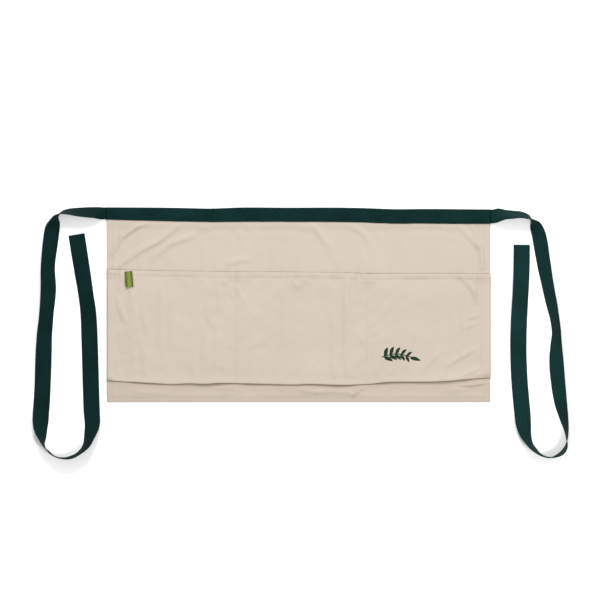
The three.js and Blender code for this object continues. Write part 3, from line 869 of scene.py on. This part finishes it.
# %% Panel shape
HEM_WIDTH = 0.0095
HEM_TURN_IN = 0.0080
PANEL_STEP = 0.003
BAND_LIFT = 0.0015
BAND_RAMP = 0.014
OUTER_TURN = math.pi * LAYER
INNER_TURN = math.pi * LAYER / 2
SEWN_WIDTH = 0.0016
SEWN_DEPTH = 0.0003
PUCKER_HEIGHT = 0.0003
SIDE_PUCKER = 0.0085
FOOT_PUCKER = 0.0095
PANEL_CREASES = [
    ([(-0.297, 0.080), (-0.281, 0.108), (-0.255, 0.126), (-0.233, 0.133)], 0.0036, 0.0040),
    ([(-0.290, 0.060), (-0.252, 0.086), (-0.221, 0.102), (-0.190, 0.128)], 0.0050, 0.0034),
    ([(-0.232, 0.074), (-0.204, 0.097), (-0.168, 0.110)], 0.0055, 0.0024),
    ([(-0.110, 0.066), (-0.092, 0.072), (-0.078, 0.071)], 0.0045, 0.0014),
    ([(0.021, 0.130), (0.034, 0.112), (0.046, 0.096)], 0.0045, 0.0016),
    ([(0.085, 0.126), (0.104, 0.113), (0.112, 0.098)], 0.0045, 0.0012),
    ([(0.276, 0.126), (0.283, 0.102), (0.290, 0.088), (0.292, 0.058)], 0.0034, 0.0036),
    ([(0.262, 0.120), (0.279, 0.098), (0.287, 0.090)], 0.0036, 0.0020),
]
STRIP_CREASES = [
    ([(-0.262, -0.137), (-0.232, -0.140), (-0.205, -0.139)], 0.0026, 0.0014),
    ([(-0.137, -0.131), (-0.105, -0.134), (-0.083, -0.139)], 0.0020, 0.0016),
    ([(-0.125, -0.140), (-0.098, -0.1395)], 0.0024, 0.0014),
    ([(0.004, -0.136), (0.028, -0.1385), (0.050, -0.1375), (0.086, -0.1385)], 0.0030, 0.0028),
    ([(0.083, -0.1465), (0.090, -0.140), (0.104, -0.1305)], 0.0022, 0.0030),
    ([(0.079, -0.138), (0.085, -0.145)], 0.0020, 0.0016),
    ([(0.225, -0.138), (0.268, -0.1345)], 0.0030, 0.0014),
    ([(0.258, -0.128), (0.276, -0.1275), (0.297, -0.124)], 0.0026, 0.0022),
]


def hem_path():
    """Lengths past the edge at which the hem's grid lines lie."""
    stops = [OUTER_TURN * i / 4 for i in range(1, 5)]
    stops += [OUTER_TURN + HEM_WIDTH * i / 3 for i in range(1, 4)]
    stops += [OUTER_TURN + HEM_WIDTH + INNER_TURN * i / 2 for i in range(1, 3)]
    stops += [OUTER_TURN + HEM_WIDTH + INNER_TURN + HEM_TURN_IN * i / 2 for i in range(1, 3)]
    return stops


def hem_place(past):
    """(inset from the edge, height) of the cloth that far past the edge."""
    if past <= OUTER_TURN:
        angle = past / LAYER
        return -math.sin(angle) * LAYER, LAYER + LAYER * math.cos(angle)
    past -= OUTER_TURN
    if past <= HEM_WIDTH:
        return past, 0.0
    past -= HEM_WIDTH
    if past <= INNER_TURN:
        angle = past / (LAYER / 2)
        return HEM_WIDTH + math.sin(angle) * LAYER / 2, LAYER / 2 * (1 - math.cos(angle))
    return HEM_WIDTH - (past - INNER_TURN), LAYER


def hem_rise(inset):
    return 2 * LAYER * (1 - soft_step(inset, HEM_WIDTH + LAYER, HEM_WIDTH + 0.006))


half_width = panel_high.x - LAYER
foot = panel_low.y + LAYER


def band_lift(y):
    """The panel rises a little where the band's back layer lies under it."""
    return BAND_LIFT * soft_step(y, band_low.y - BAND_RAMP, band_low.y)


def pucker(along_hem, inset, seed_point, length):
    """Small ripples that a hem's sewing draws up, strongest in the middle of the hem."""
    turn = along_hem * 2 * math.pi / length + 3 * noise.noise(seed_point)
    return PUCKER_HEIGHT * math.sin(turn) * bell(inset - 0.006, 0.006)


def panel_ground(x, y):
    """Height of the panel's middle surface where it lies flat."""
    side = half_width - abs(x)
    height = CLOTH / 2 + max(hem_rise(side), hem_rise(y - foot))
    return height + band_lift(y)


def panel_top(x, y):
    """The panel's middle surface with its creases and its sewn lines."""
    side = half_width - abs(x)
    free = soft_step(side, 0.004, 0.03) * soft_step(band_low.y - y, 0.0, 0.02)
    free *= soft_step(y - foot, 0.004, 0.016)
    height = panel_ground(x, y) + free * (0.0007 + unrest(x, y, 11.0, 0.055, 0.0012))
    if y > 0:
        height += all_creases(x, y, PANEL_CREASES) * soft_step(band_low.y - y, -0.002, 0.008)
    else:
        height += all_creases(x, y, STRIP_CREASES) * soft_step(y - foot, 0.006, 0.012)
    height += pucker(y, side, (y * 30, x, 2), SIDE_PUCKER)
    height += pucker(x, y - foot, (x * 30, y, 2), FOOT_PUCKER)
    sewn = bell(side - hem_line, SEWN_WIDTH) + bell(y - bottom_line, SEWN_WIDTH)
    return max(CLOTH / 2, height - SEWN_DEPTH * sewn)


print("panel", round(2 * half_width, 4), "m wide between its folded edges")

# %% Settle the upper panel
upper_columns = spaced(-band_high.x + hem_line, band_high.x - hem_line, SETTLE_STEP)
upper_rows = spaced(mouth_line - 0.014, band_low.y, SETTLE_STEP)


def upper_held(x, y):
    return x in (upper_columns[0], upper_columns[-1]) or y in (upper_rows[0], upper_rows[-1])


upper_shifts = settle(upper_columns, upper_rows, lambda x, y: Vector((x, y, panel_top(x, y))),
                      panel_ground, upper_held, growth=0.006, bending=14)
print("upper panel settled, highest shift", round(float(upper_shifts.max()), 4))

# %% Panel
FINE_STEP = 0.0007
FOOT_ZONE = (-0.1305, -0.1135)
MOUTH_ZONE = (0.0455, 0.0580)
NOTHING = 1e-9


def panel_face(x, y):
    point = Vector((x, y, panel_top(x, y)))
    if abs(x) < upper_columns[-1] and y > upper_rows[0]:
        fade = soft_step(upper_columns[-1] - abs(x), 0, 0.006)
        fade *= soft_step(band_low.y - y, -0.002, 0.006)
        point += shift_at(upper_shifts, upper_columns, upper_rows, x, y) * fade
    point.z = max(point.z, panel_ground(x, y) - 0.0002)
    return point


def panel_place(column, row):
    x = min(half_width, max(-half_width, column))
    y = max(foot, row)
    past_side = abs(column) - half_width
    past_foot = foot - row
    if past_side > NOTHING:
        inset, height = hem_place(past_side)
        height += CLOTH / 2
        return Vector((math.copysign(half_width - inset, x), y, height + band_lift(y)))
    if past_foot > NOTHING:
        inset, height = hem_place(past_foot)
        return Vector((x, foot + inset, CLOTH / 2 + height))
    return panel_face(x, y)


past = hem_path()
panel_columns = ([-half_width - p for p in reversed(past)]
                 + spaced(-half_width, half_width, PANEL_STEP)
                 + [half_width + p for p in past])
panel_rows = ([foot - p for p in reversed(past)]
              + spaced_through([foot, *FOOT_ZONE, *MOUTH_ZONE, panel_high.y],
                               [PANEL_STEP, FINE_STEP, PANEL_STEP, FINE_STEP, PANEL_STEP]))
panel_mesh, panel_spot = cloth_grid(panel_columns, panel_rows, panel_place)
corner_top = foot + HEM_WIDTH + 2 * LAYER
gone = [
    face for face in panel_mesh.faces
    if any(abs(panel_spot[v][0]) > half_width + NOTHING for v in face.verts)
    and any(panel_spot[v][1] < corner_top for v in face.verts)
]
bmesh.ops.delete(panel_mesh, geom=gone, context="FACES")
bmesh.ops.recalc_face_normals(panel_mesh, faces=panel_mesh.faces)
paint_shade(panel_mesh, panel_shade)
panel = make_object("canvas_panel", panel_mesh, panel_canvas)
thicken(panel)
sewn_to_apron(panel, "apron_panel")

# %% [markdown]
# ## The pocket piece
# One piece of canvas makes all three pockets. Its mouth is hemmed to the inside, its foot is
# folded back under itself onto a hidden seam, and four seams press it onto the panel. Between
# two seams it stands a little off the panel, as an apron does that has been used. It was sewn
# and pressed by hand, so its mouth and foot wander by a few millimetres.

# %% Pocket shape
POCKET_STEP = 0.003
FOLD_RADIUS = 0.0014
FOLD_RETURN = 0.011
OPEN_RISE = 0.0046
PRESSED_RISE = 0.0012
FOOT_RISE = 0.0036
MOUTH_HEM = 0.0095
OVERHANG = 0.0012
FOLD_LENGTH = math.pi * FOLD_RADIUS
MOUTH_SEWING = 0.0015
WALL_GAP = 0.0007
RETURN_LIFT = 0.0003
POCKET_CREASES = [
    ([(0.256, 0.047), (0.279, 0.022), (0.2895, -0.004)], 0.0042, 0.0034),
    ([(0.270, -0.021), (0.289, -0.015)], 0.0032, 0.0020),
    ([(0.262, -0.036), (0.288, -0.028)], 0.0032, 0.0016),
    ([(0.200, -0.100), (0.213, -0.086), (0.222, -0.077)], 0.0034, 0.0018),
    ([(0.236, -0.096), (0.262, -0.080), (0.290, -0.066)], 0.0040, 0.0024),
    ([(0.262, -0.112), (0.280, -0.105), (0.292, -0.096)], 0.0036, 0.0026),
    ([(0.097, -0.008), (0.119, -0.028)], 0.0034, 0.0018),
    ([(0.092, -0.044), (0.104, -0.058)], 0.0034, 0.0018),
    ([(0.096, 0.040), (0.103, 0.036), (0.110, 0.040)], 0.0030, 0.0012),
    ([(-0.120, 0.038), (-0.098, 0.026), (-0.088, 0.008)], 0.0034, 0.0026),
    ([(-0.104, -0.020), (-0.094, -0.034)], 0.0034, 0.0014),
    ([(-0.292, 0.018), (-0.276, -0.026)], 0.0042, 0.0024),
    ([(-0.288, 0.040), (-0.284, 0.022), (-0.286, 0.008)], 0.0030, 0.0020),
    ([(-0.249, 0.002), (-0.240, -0.044)], 0.0050, 0.0018),
    ([(-0.012, 0.044), (-0.001, 0.028), (0.009, 0.043)], 0.0034, 0.0020),
]
PRESSED_CREASES = [
    ([(-0.0247, 0.046), (-0.0231, -0.04), (-0.0167, -0.1)], 0.0020, 0.0007),
    ([(0.282, -0.1125), (0.293, -0.107), (0.302, -0.100)], 0.0024, 0.0019),
    ([(0.272, -0.1135), (0.290, -0.1115), (0.303, -0.1105)], 0.0020, 0.0012),
    ([(-0.303, -0.112), (-0.297, -0.115), (-0.290, -0.1175)], 0.0020, 0.0012),
]
pocket_half = pocket_high.x - LAYER
wall_length = pocket_high.y - pocket_low.y - LAYER - FOLD_RADIUS
seams = [-side_seam, *divider_seams, side_seam]


def to_seam(x):
    return min(abs(x - seam) for seam in seams)


def openness(x):
    """0 on a seam, 1 where the pocket stands open."""
    if abs(x) > side_seam:
        return 0.0
    return soft_step(to_seam(x), 0.0006, 0.030) ** 0.8


def wall_ground(x):
    """Height of the lowest place for the wall, over the panel and its side hems."""
    return CLOTH / 2 + hem_rise(half_width - abs(x)) + WALL_GAP


def wall_rise(x, row):
    """Height of the wall over the panel, row metres of cloth below the mouth."""
    share = openness(x)
    near_mouth = 1 - soft_step(row, 0.0, 0.03)
    near_foot = soft_step(row, wall_length - 0.045, wall_length)
    open_rise = OPEN_RISE * (1 - 0.15 * near_mouth)
    open_rise += (FOOT_RISE * (1 + 0.25 * math.sin(x * 31)) - open_rise) * near_foot
    ladder = 0.0010 * noise.noise((row * 95, x * 6, 1.0)) * patchy(row + x, 6.0)
    ladder *= bell(share - 0.35, 0.3) * soft_step(share, 0.0, 0.2)
    wander = unrest(x, row, 23.0, 0.05, 0.0010) * soft_step(share, 0.1, 0.8)
    gape = 0.0012 * max(0.0, noise.noise((x * 22, 5.0, 2.0))) * near_mouth * share
    return PRESSED_RISE + (open_rise - PRESSED_RISE) * share + ladder + wander + gape


def wall_spot(x, row):
    """A point of the wall before it settles."""
    top, low = along(MOUTH_LINE, x), along(FOOT_LINE, x) + FOLD_RADIUS
    y = top - row / wall_length * (top - low)
    return Vector((x, y, wall_ground(x) + wall_rise(x, row)))


print("pocket wall", round(wall_length, 4), "m of cloth from its mouth to its foot")

# %% Settle the pocket wall
wall_columns = spaced_through(seams, [SETTLE_STEP] * 3)
wall_rows = spaced(0.0, wall_length, SETTLE_STEP)
wall_shifts = settle(wall_columns, wall_rows, wall_spot,
                     lambda x, row: wall_ground(x) + 0.55 * wall_rise(x, row),
                     lambda x, row: x in seams or row == wall_rows[-1],
                     growth=0.011, bending=12)
crept = wall_shifts[:, 0, 1].copy()
for k, row in enumerate(wall_rows):
    wall_shifts[:, k, 1] -= (1 - row / wall_length) * crept
print("pocket wall settled, lowest shift", round(float(wall_shifts[:, :, 2].min()), 4))

# %% Pocket
def wall_place(x, row):
    """A point of the wall with its creases, once it has settled."""
    point = wall_spot(x, row)
    if abs(x) < side_seam:
        point += shift_at(wall_shifts, wall_columns, wall_rows, x, row)
    top = point.y
    share = openness(x)
    point.z += all_creases(x, top, PRESSED_CREASES)
    point.z += all_creases(x, top, POCKET_CREASES) * share**0.3
    point.z += unrest(x, top, 47.0, 0.045, 0.0014) * share * soft_step(wall_length - row, 0, 0.02)
    drawn_up = bell(row - MOUTH_HEM - 0.002, 0.005) * (0.3 + share)
    point.z += 0.0013 * drawn_up * noise.noise((x * 48, 8.0, 3.0))
    point.z -= 0.0004 * bell(row - MOUTH_HEM + MOUTH_SEWING, 0.0015)
    point.z -= 0.0002 * bell(to_seam(x), 0.0014)
    point.z = max(point.z, wall_ground(x) + 0.5 * PRESSED_RISE)
    return point


def pocket_place(column, row):
    """Past the mouth, row is below 0 and the hem goes inside; past wall_length is the fold."""
    x = min(pocket_half + OVERHANG, max(-pocket_half, column))
    stack = 2 * LAYER * (1 - openness(x))
    if row < 0:
        inset, height = hem_place(-row)
        point = wall_place(x, max(0.0, inset))
        point.y += max(0.0, -inset)
        point.z += height - 2 * LAYER + stack
        return point
    if row <= wall_length:
        point = wall_place(x, row)
        point.z += stack * (1 - soft_step(row, MOUTH_HEM, MOUTH_HEM + 0.006))
        return point
    edge = wall_place(x, wall_length)
    low = wall_ground(x) + RETURN_LIFT
    radius = (edge.z - low) / 2
    if row <= wall_length + FOLD_LENGTH:
        angle = (row - wall_length) / FOLD_RADIUS
        y = edge.y - FOLD_RADIUS * math.sin(angle)
        return Vector((x, y, low + radius * (1 + math.cos(angle))))
    return Vector((x, edge.y + (row - wall_length - FOLD_LENGTH), low))


pocket_columns = spaced_through([-pocket_half, *seams, pocket_half + OVERHANG],
                                [POCKET_STEP] * 5)
pocket_rows = ([-p for p in reversed(past)]
               + spaced_through([0, 0.012, wall_length], [0.0015, POCKET_STEP])
               + [wall_length + FOLD_LENGTH * i / 8 for i in range(1, 9)]
               + [wall_length + FOLD_LENGTH + FOLD_RETURN * i / 4 for i in range(1, 5)])
pocket_mesh, _ = cloth_grid(pocket_columns, pocket_rows, pocket_place)
bmesh.ops.recalc_face_normals(pocket_mesh, faces=pocket_mesh.faces)
paint_shade(pocket_mesh, pocket_shade)
pocket = make_object("pocket_cloth", pocket_mesh, pocket_canvas)
thicken(pocket)
sewn_to_apron(pocket, "pocket_panel")

# %% [markdown]
# ## The waistband
# The green strip is folded over the panel's top edge. Both of its long edges are turned in, so
# no raw edge shows, and one line of sewing through all layers holds it. Its grid runs from the
# turned-in edge at the back, up over the fold and down to the turned-in edge in front.

# %% Waistband
BAND_TURN_IN = 0.004
BAND_STEP = 0.003
BAND_PUCKER = 0.0078
BAND_ROW = 0.0018
BAND_SEWING = 0.0025
BAND_TOP = [
    (-0.305, 0.1548), (-0.228, 0.1544), (-0.180, 0.1537), (-0.140, 0.1529), (-0.088, 0.1546),
    (-0.014, 0.1542), (0.058, 0.1544), (0.106, 0.1535), (0.154, 0.1519), (0.201, 0.1522),
    (0.249, 0.1519), (0.305, 0.1514),
]
BAND_BOTTOM = [
    (-0.305, 0.1360), (-0.228, 0.1339), (-0.180, 0.1328), (-0.133, 0.1322), (-0.085, 0.1326),
    (-0.014, 0.1325), (0.058, 0.1322), (0.106, 0.1313), (0.154, 0.1296), (0.201, 0.1298),
    (0.249, 0.1292), (0.305, 0.1293),
]


def band_front(x):
    return BAND_LIFT + CLOTH + hem_rise(half_width - abs(x)) + 0.0012


def band_rows():
    """The parts of the strip that the grid's rows pass, from its back edge to its front one."""
    return ([("back_in", 1.0), ("back_in", 0.0), ("back_turn", 0.5)]
            + [("back", share) for share in spaced(0, 1, 0.125)]
            + [("top", share) for share in (0.25, 0.5, 0.75)]
            + [("front", 1 - share) for share in spaced(0, 1, 1 / 14)]
            + [("front_turn", 0.5), ("front_in", 0.0), ("front_in", 1.0)])


def band_place(x, row):
    kind, share = row
    top, bottom = along(BAND_TOP, x), along(BAND_BOTTOM, x)
    bottom += 0.0003 * noise.noise((x * 60, 1.7, 4.0))
    front, back = band_front(x), CLOTH / 2
    round_top = (front - back) / 2
    if kind == "back_in":
        return Vector((x, bottom + BAND_TURN_IN * share, back + LAYER))
    if kind == "back_turn":
        return Vector((x, bottom - LAYER / 2, back + LAYER / 2))
    if kind == "back":
        return Vector((x, bottom + (top - round_top - bottom) * share, back))
    if kind == "top":
        angle = math.pi * (share - 0.5)
        return Vector((x, top - round_top + round_top * math.cos(angle),
                       back + round_top + round_top * math.sin(angle)))
    if kind == "front":
        y = bottom + (top - round_top - bottom) * share
        sewn = -0.0005 * bell(y - bottom - BAND_SEWING, 0.0013)
        middle = math.sin(math.pi * share)
        swell = 0.0006 * middle + unrest(x, y, 31.0, 0.03, 0.0006) * middle
        ripple = 0.0002 * math.sin(x * 2 * math.pi / BAND_PUCKER + 9 * share) * (1 - share)
        return Vector((x, y, front + sewn + swell + ripple))
    if kind == "front_turn":
        return Vector((x, bottom - LAYER / 2, front - LAYER / 2))
    return Vector((x, bottom + BAND_TURN_IN * share, front - LAYER))


rows = band_rows()
band_end = tie_root - BAND_GAP + 0.0001
band_mesh, band_spot = cloth_grid(spaced(-band_end, band_end, BAND_STEP),
                                  list(range(len(rows))),
                                  lambda column, row: band_place(column, rows[row]))
set_cut(band_mesh, band_spot, lambda column, row: (row * BAND_ROW, column))
bmesh.ops.recalc_face_normals(band_mesh, faces=band_mesh.faces)
band = make_object("green_waistband", band_mesh, band_twill)
thicken(band)
sewn_to_apron(band, "waistband")

# %% [markdown]
# ## Sewing through the cloth
# Each seam is a line drawn over the apron in plan. A ray dropped onto the finished cloth finds
# the height and the slope under every stitch, so the sewing follows each crease and pucker.

# %% Sew the apron
RAY_START = 0.1
SUNK = 0.00005


def cloth_tree(piece):
    corners = [vert.co for vert in piece.data.vertices]
    faces = [tuple(polygon.vertices) for polygon in piece.data.polygons]
    return BVHTree.FromPolygons(corners, faces)


trees = {piece: cloth_tree(piece) for piece in (panel, pocket, band)}


def on_cloth(piece, x, y, lift=0.0):
    """The point and the normal of the cloth under (x, y)."""
    hit, normal, _, _ = trees[piece].ray_cast(Vector((x, y, RAY_START)), Vector((0, 0, -1)))
    if hit is None:
        return None, None
    if normal.z < 0:
        normal = -normal
    return hit + normal * lift, normal


def sew(name, node, piece, line, material=natural_thread):
    """line is a list of (x, y) along the seam, one for each stitch."""
    stops = []
    for here, ahead in zip(line, line[1:]):
        point, normal = on_cloth(piece, *here, lift=SUNK)
        after, _ = on_cloth(piece, *ahead, lift=SUNK)
        if point and after:
            stops.append(((point + after) / 2, after - point, normal))
    sewn_to_apron(stitch_line(name, stops, material), node)


def up_seam(x, low, high):
    return [(x, y) for y in spaced(low, high, STITCH_PITCH)]


def wall_seam(x):
    return up_seam(x, along(FOOT_LINE, x) + 0.002, along(MOUTH_LINE, x) - 0.001)


hem_x = band_high.x - hem_line
for side, word in ((-1, "left"), (1, "right")):
    sew(f"hem_stitches_{word}", f"side_hem_stitch_{word}", panel,
        up_seam(side * hem_x, foot + 0.003, along(BAND_BOTTOM, side * hem_x) - 0.001))
    sew(f"pocket_side_stitches_{word}", f"pocket_side_stitch_{word}", pocket,
        wall_seam(side * side_seam))
for seam, word in zip(divider_seams, ("left", "right")):
    sew(f"divider_stitches_{word}", f"pocket_divider_stitch_{word}", pocket, wall_seam(seam))
sew("foot_hem_stitches", "bottom_hem_stitch", panel,
    [(x, bottom_line) for x in spaced(-hem_x, hem_x, STITCH_PITCH)])
sew("mouth_stitches", "pocket_mouth_stitch", pocket,
    [(x, along(MOUTH_LINE, x) - MOUTH_HEM + MOUTH_SEWING)
     for x in spaced(-pocket_half, pocket_half, STITCH_PITCH)])
sew("band_stitches", "waistband_stitch", band,
    [(x, along(BAND_BOTTOM, x) + BAND_SEWING)
     for x in spaced(-band_high.x + 0.002, band_high.x - 0.002, STITCH_PITCH)],
    green_thread)

# %% Sew the hidden seam at the pockets' foot
hidden = []
for x in spaced(-pocket_half, pocket_half, STITCH_PITCH):
    y = along(FOOT_LINE, x) + FOLD_RADIUS + FOLD_RETURN - 0.002
    z = wall_ground(x) + RETURN_LIFT + CLOTH / 2
    hidden.append((Vector((x, y, z)), (1, 0, 0), (0, 0, 1)))
sewn_to_apron(stitch_line("hidden_foot_stitches", hidden, natural_thread),
              "pocket_foot_stitch")

# %% [markdown]
# ## The woven label
# A side label is a satin-woven ribbon folded in half, its two ends caught under one short seam
# at the pocket's mouth. Its woven motif here is a plain chain of diamonds. It has a swinging
# body of its own at the seam; here it is built in place and is not blended with the apron.

# %% Label cloth
def woven_label(name, ground, motif):
    material, tree, shader = new_material(name)
    _, across, along_cut = cut_lengths(tree)
    along_ribbon = calc(tree, "PINGPONG", calc(tree, "ADD", along_cut, 0.0004), 0.0022)
    from_middle = calc(tree, "ABSOLUTE", across)
    slope = calc(tree, "ABSOLUTE", calc(tree, "SUBTRACT", from_middle, along_ribbon))
    line = calc(tree, "LESS_THAN", slope, 0.0004)
    inside = calc(tree, "LESS_THAN", from_middle, 0.0034)
    shown = calc(tree, "MULTIPLY", line, inside)
    edge = calc(tree, "GREATER_THAN", from_middle, 0.0052)
    base = mix_colours(tree, "MIX", shown, (*ground, 1), (*motif, 1))
    darker = (*scaled(ground, 0.5), 1)
    base = mix_colours(tree, "MIX", calc(tree, "MULTIPLY", edge, 0.8), base, darker)
    floats, picks = wave(tree, across, 0.0005), wave(tree, along_cut, 0.0007)
    height = calc(tree, "ADD", calc(tree, "MULTIPLY", floats, picks), shown)
    dress(tree, shader, base, height, 0.5, 0.0001,
          {"Roughness": 0.6, "Specular IOR Level": 0.15})
    return material


label_cloth = woven_label("olive label weave", (0.082, 0.110, 0.002), (0.30, 0.33, 0.13))
print("label material made")

# %% Label
LABEL_WIDTH = 0.0125
LABEL_FOLD = 0.0006
LABEL_TILT = math.radians(5)
LABEL_TURN = math.pi * LABEL_FOLD / 2
LABEL_CLOTH = 0.0003
LABEL_ROW = 0.0012
label_low, label_high = box_of("label")
label_x = centre_of("label_stitch").x
label_top = along(MOUTH_LINE, label_x) - 0.0012
label_bottom = label_low.y + 0.0010
label_length = label_top - label_bottom


def label_place(column, row):
    """row runs down the front half to the fold, and back up behind it."""
    if row <= label_length:
        down, depth = row, 1.0
    elif row <= label_length + LABEL_TURN:
        angle = (row - label_length) / (LABEL_FOLD / 2)
        down = label_length + LABEL_FOLD / 2 * math.sin(angle)
        depth = (1 + math.cos(angle)) / 2
    else:
        down, depth = 2 * label_length + LABEL_TURN - row, 0.0
    slant = math.sin(LABEL_TILT)
    x = label_x + column + slant * down
    y = label_top - down + slant * column
    share = down / label_length
    curl = 0.0013 * share * share + 0.0004 * math.sin(share * 5 + column * 260) * share
    return Vector((x, y, label_bed + label_lean * share + 0.0004 + curl + depth * LABEL_FOLD))


samples = [on_cloth(pocket, label_x + math.sin(LABEL_TILT) * d, label_top - d)[0].z
           for d in spaced(0.001, label_length, 0.001)]
label_bed = samples[0] + 0.0002
label_lean = max((z - label_bed) / (0.05 + 0.95 * i / (len(samples) - 1))
                 for i, z in enumerate(samples)) + 0.0003
label_lean = min(0.004, max(0.0, label_lean))
label_rows = (spaced(0, label_length, LABEL_ROW)
              + [label_length + LABEL_TURN * i / 6 for i in range(1, 7)]
              + [label_length + LABEL_TURN + d
                 for d in spaced(0, label_length, LABEL_ROW)[1:]])
label_mesh, _ = cloth_grid(spaced(-LABEL_WIDTH / 2, LABEL_WIDTH / 2, 0.00125), label_rows,
                           label_place)
bmesh.ops.recalc_face_normals(label_mesh, faces=label_mesh.faces)
label = make_object("woven_label", label_mesh, label_cloth)
thicken(label, LABEL_CLOTH)
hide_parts("label")
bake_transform(label)
say(label)

# %% Sew the label on
label_stops = []
heading = (math.cos(LABEL_TILT), math.sin(LABEL_TILT), 0)
for across in spaced(-LABEL_WIDTH / 2 + 0.001, LABEL_WIDTH / 2 - 0.001, 0.0021):
    spot = label_place(across, 0.0010) + Vector((0, 0, 0.0002))
    label_stops.append((spot, heading, (0, 0, 1)))
sewn_to_apron(stitch_line("label_stitches", label_stops, olive_thread, length=0.0019, width=0.0005),
              "label_stitch")

# %% [markdown]
# ## The embroidered sprig
# Satin stitch fills a shape with threads laid side by side across it, so its sheen turns with
# each leaf. Every thread here is one long stitch on the pocket's cloth, and each leaf is a
# short loop over its length. The stem is the same stitch, laid slanting in one narrow band.

# %% Sprig
SPRIG_LENGTH = 0.062
SPRIG_BOW = 0.005
LEAF_LENGTH = 0.0175
LEAF_WIDTH = 0.0074
LEAF_PAIRS = 5
LEAF_ANGLE = math.radians(48)
SATIN_PITCH = 0.00045
SATIN_WIDTH = 0.00072
STEM_LENGTH = SPRIG_LENGTH - LEAF_LENGTH
sprig_low, sprig_high = box_of("embroidered_sprig")
sprig_foot_y = sprig_low.y + (sprig_high.y - sprig_low.y) * 0.42


def stem_point(share):
    x = sprig_low.x + 0.001 + STEM_LENGTH * share
    return Vector((x, sprig_foot_y + SPRIG_BOW * math.sin(math.pi * share), 0))


def stem_heading(share):
    return (stem_point(share + 0.01) - stem_point(share - 0.01)).normalized()


def lay_thread(bm, start, end):
    """One satin thread on the cloth between two points in plan."""
    a, normal = on_cloth(pocket, start.x, start.y, ON_TOP)
    b, _ = on_cloth(pocket, end.x, end.y, ON_TOP)
    if a and b and (b - a).length > 0.0003:
        add_stitch(bm, (a + b) / 2, b - a, normal, length=(b - a).length * 1.06, width=SATIN_WIDTH)


def satin_leaf(bm, root, heading, length, width):
    sideways = Vector((-heading.y, heading.x, 0))
    count = round(length / SATIN_PITCH)
    for i in range(1, count):
        share = i / count
        half = width / 2 * math.sin(math.pi * share**0.8) ** 0.9
        middle = root + heading * length * share
        slant = heading * half * 0.55
        lay_thread(bm, middle - sideways * half - slant, middle + sideways * half + slant)


bm = bmesh.new()
for i in range(round(STEM_LENGTH / SATIN_PITCH)):
    share = i * SATIN_PITCH / STEM_LENGTH
    middle, heading = stem_point(share), stem_heading(share)
    sideways = Vector((-heading.y, heading.x, 0)) * 0.0008
    lay_thread(bm, middle - sideways - heading * 0.0006, middle + sideways + heading * 0.0006)
for pair in range(LEAF_PAIRS):
    share = (pair + 0.35) / (LEAF_PAIRS + 0.1)
    size = 1 - 0.07 * pair
    for side in (-1, 1):
        heading = stem_heading(share)
        heading.rotate(Matrix.Rotation(side * LEAF_ANGLE, 3, "Z"))
        satin_leaf(bm, stem_point(share) + heading * 0.0006, heading,
                   LEAF_LENGTH * 0.86 * size, LEAF_WIDTH * size * 0.9)
satin_leaf(bm, stem_point(1.0), stem_heading(1.0), LEAF_LENGTH, LEAF_WIDTH * 0.85)
sewn_to_apron(make_object("satin_sprig", bm, sprig_thread), "embroidered_sprig")
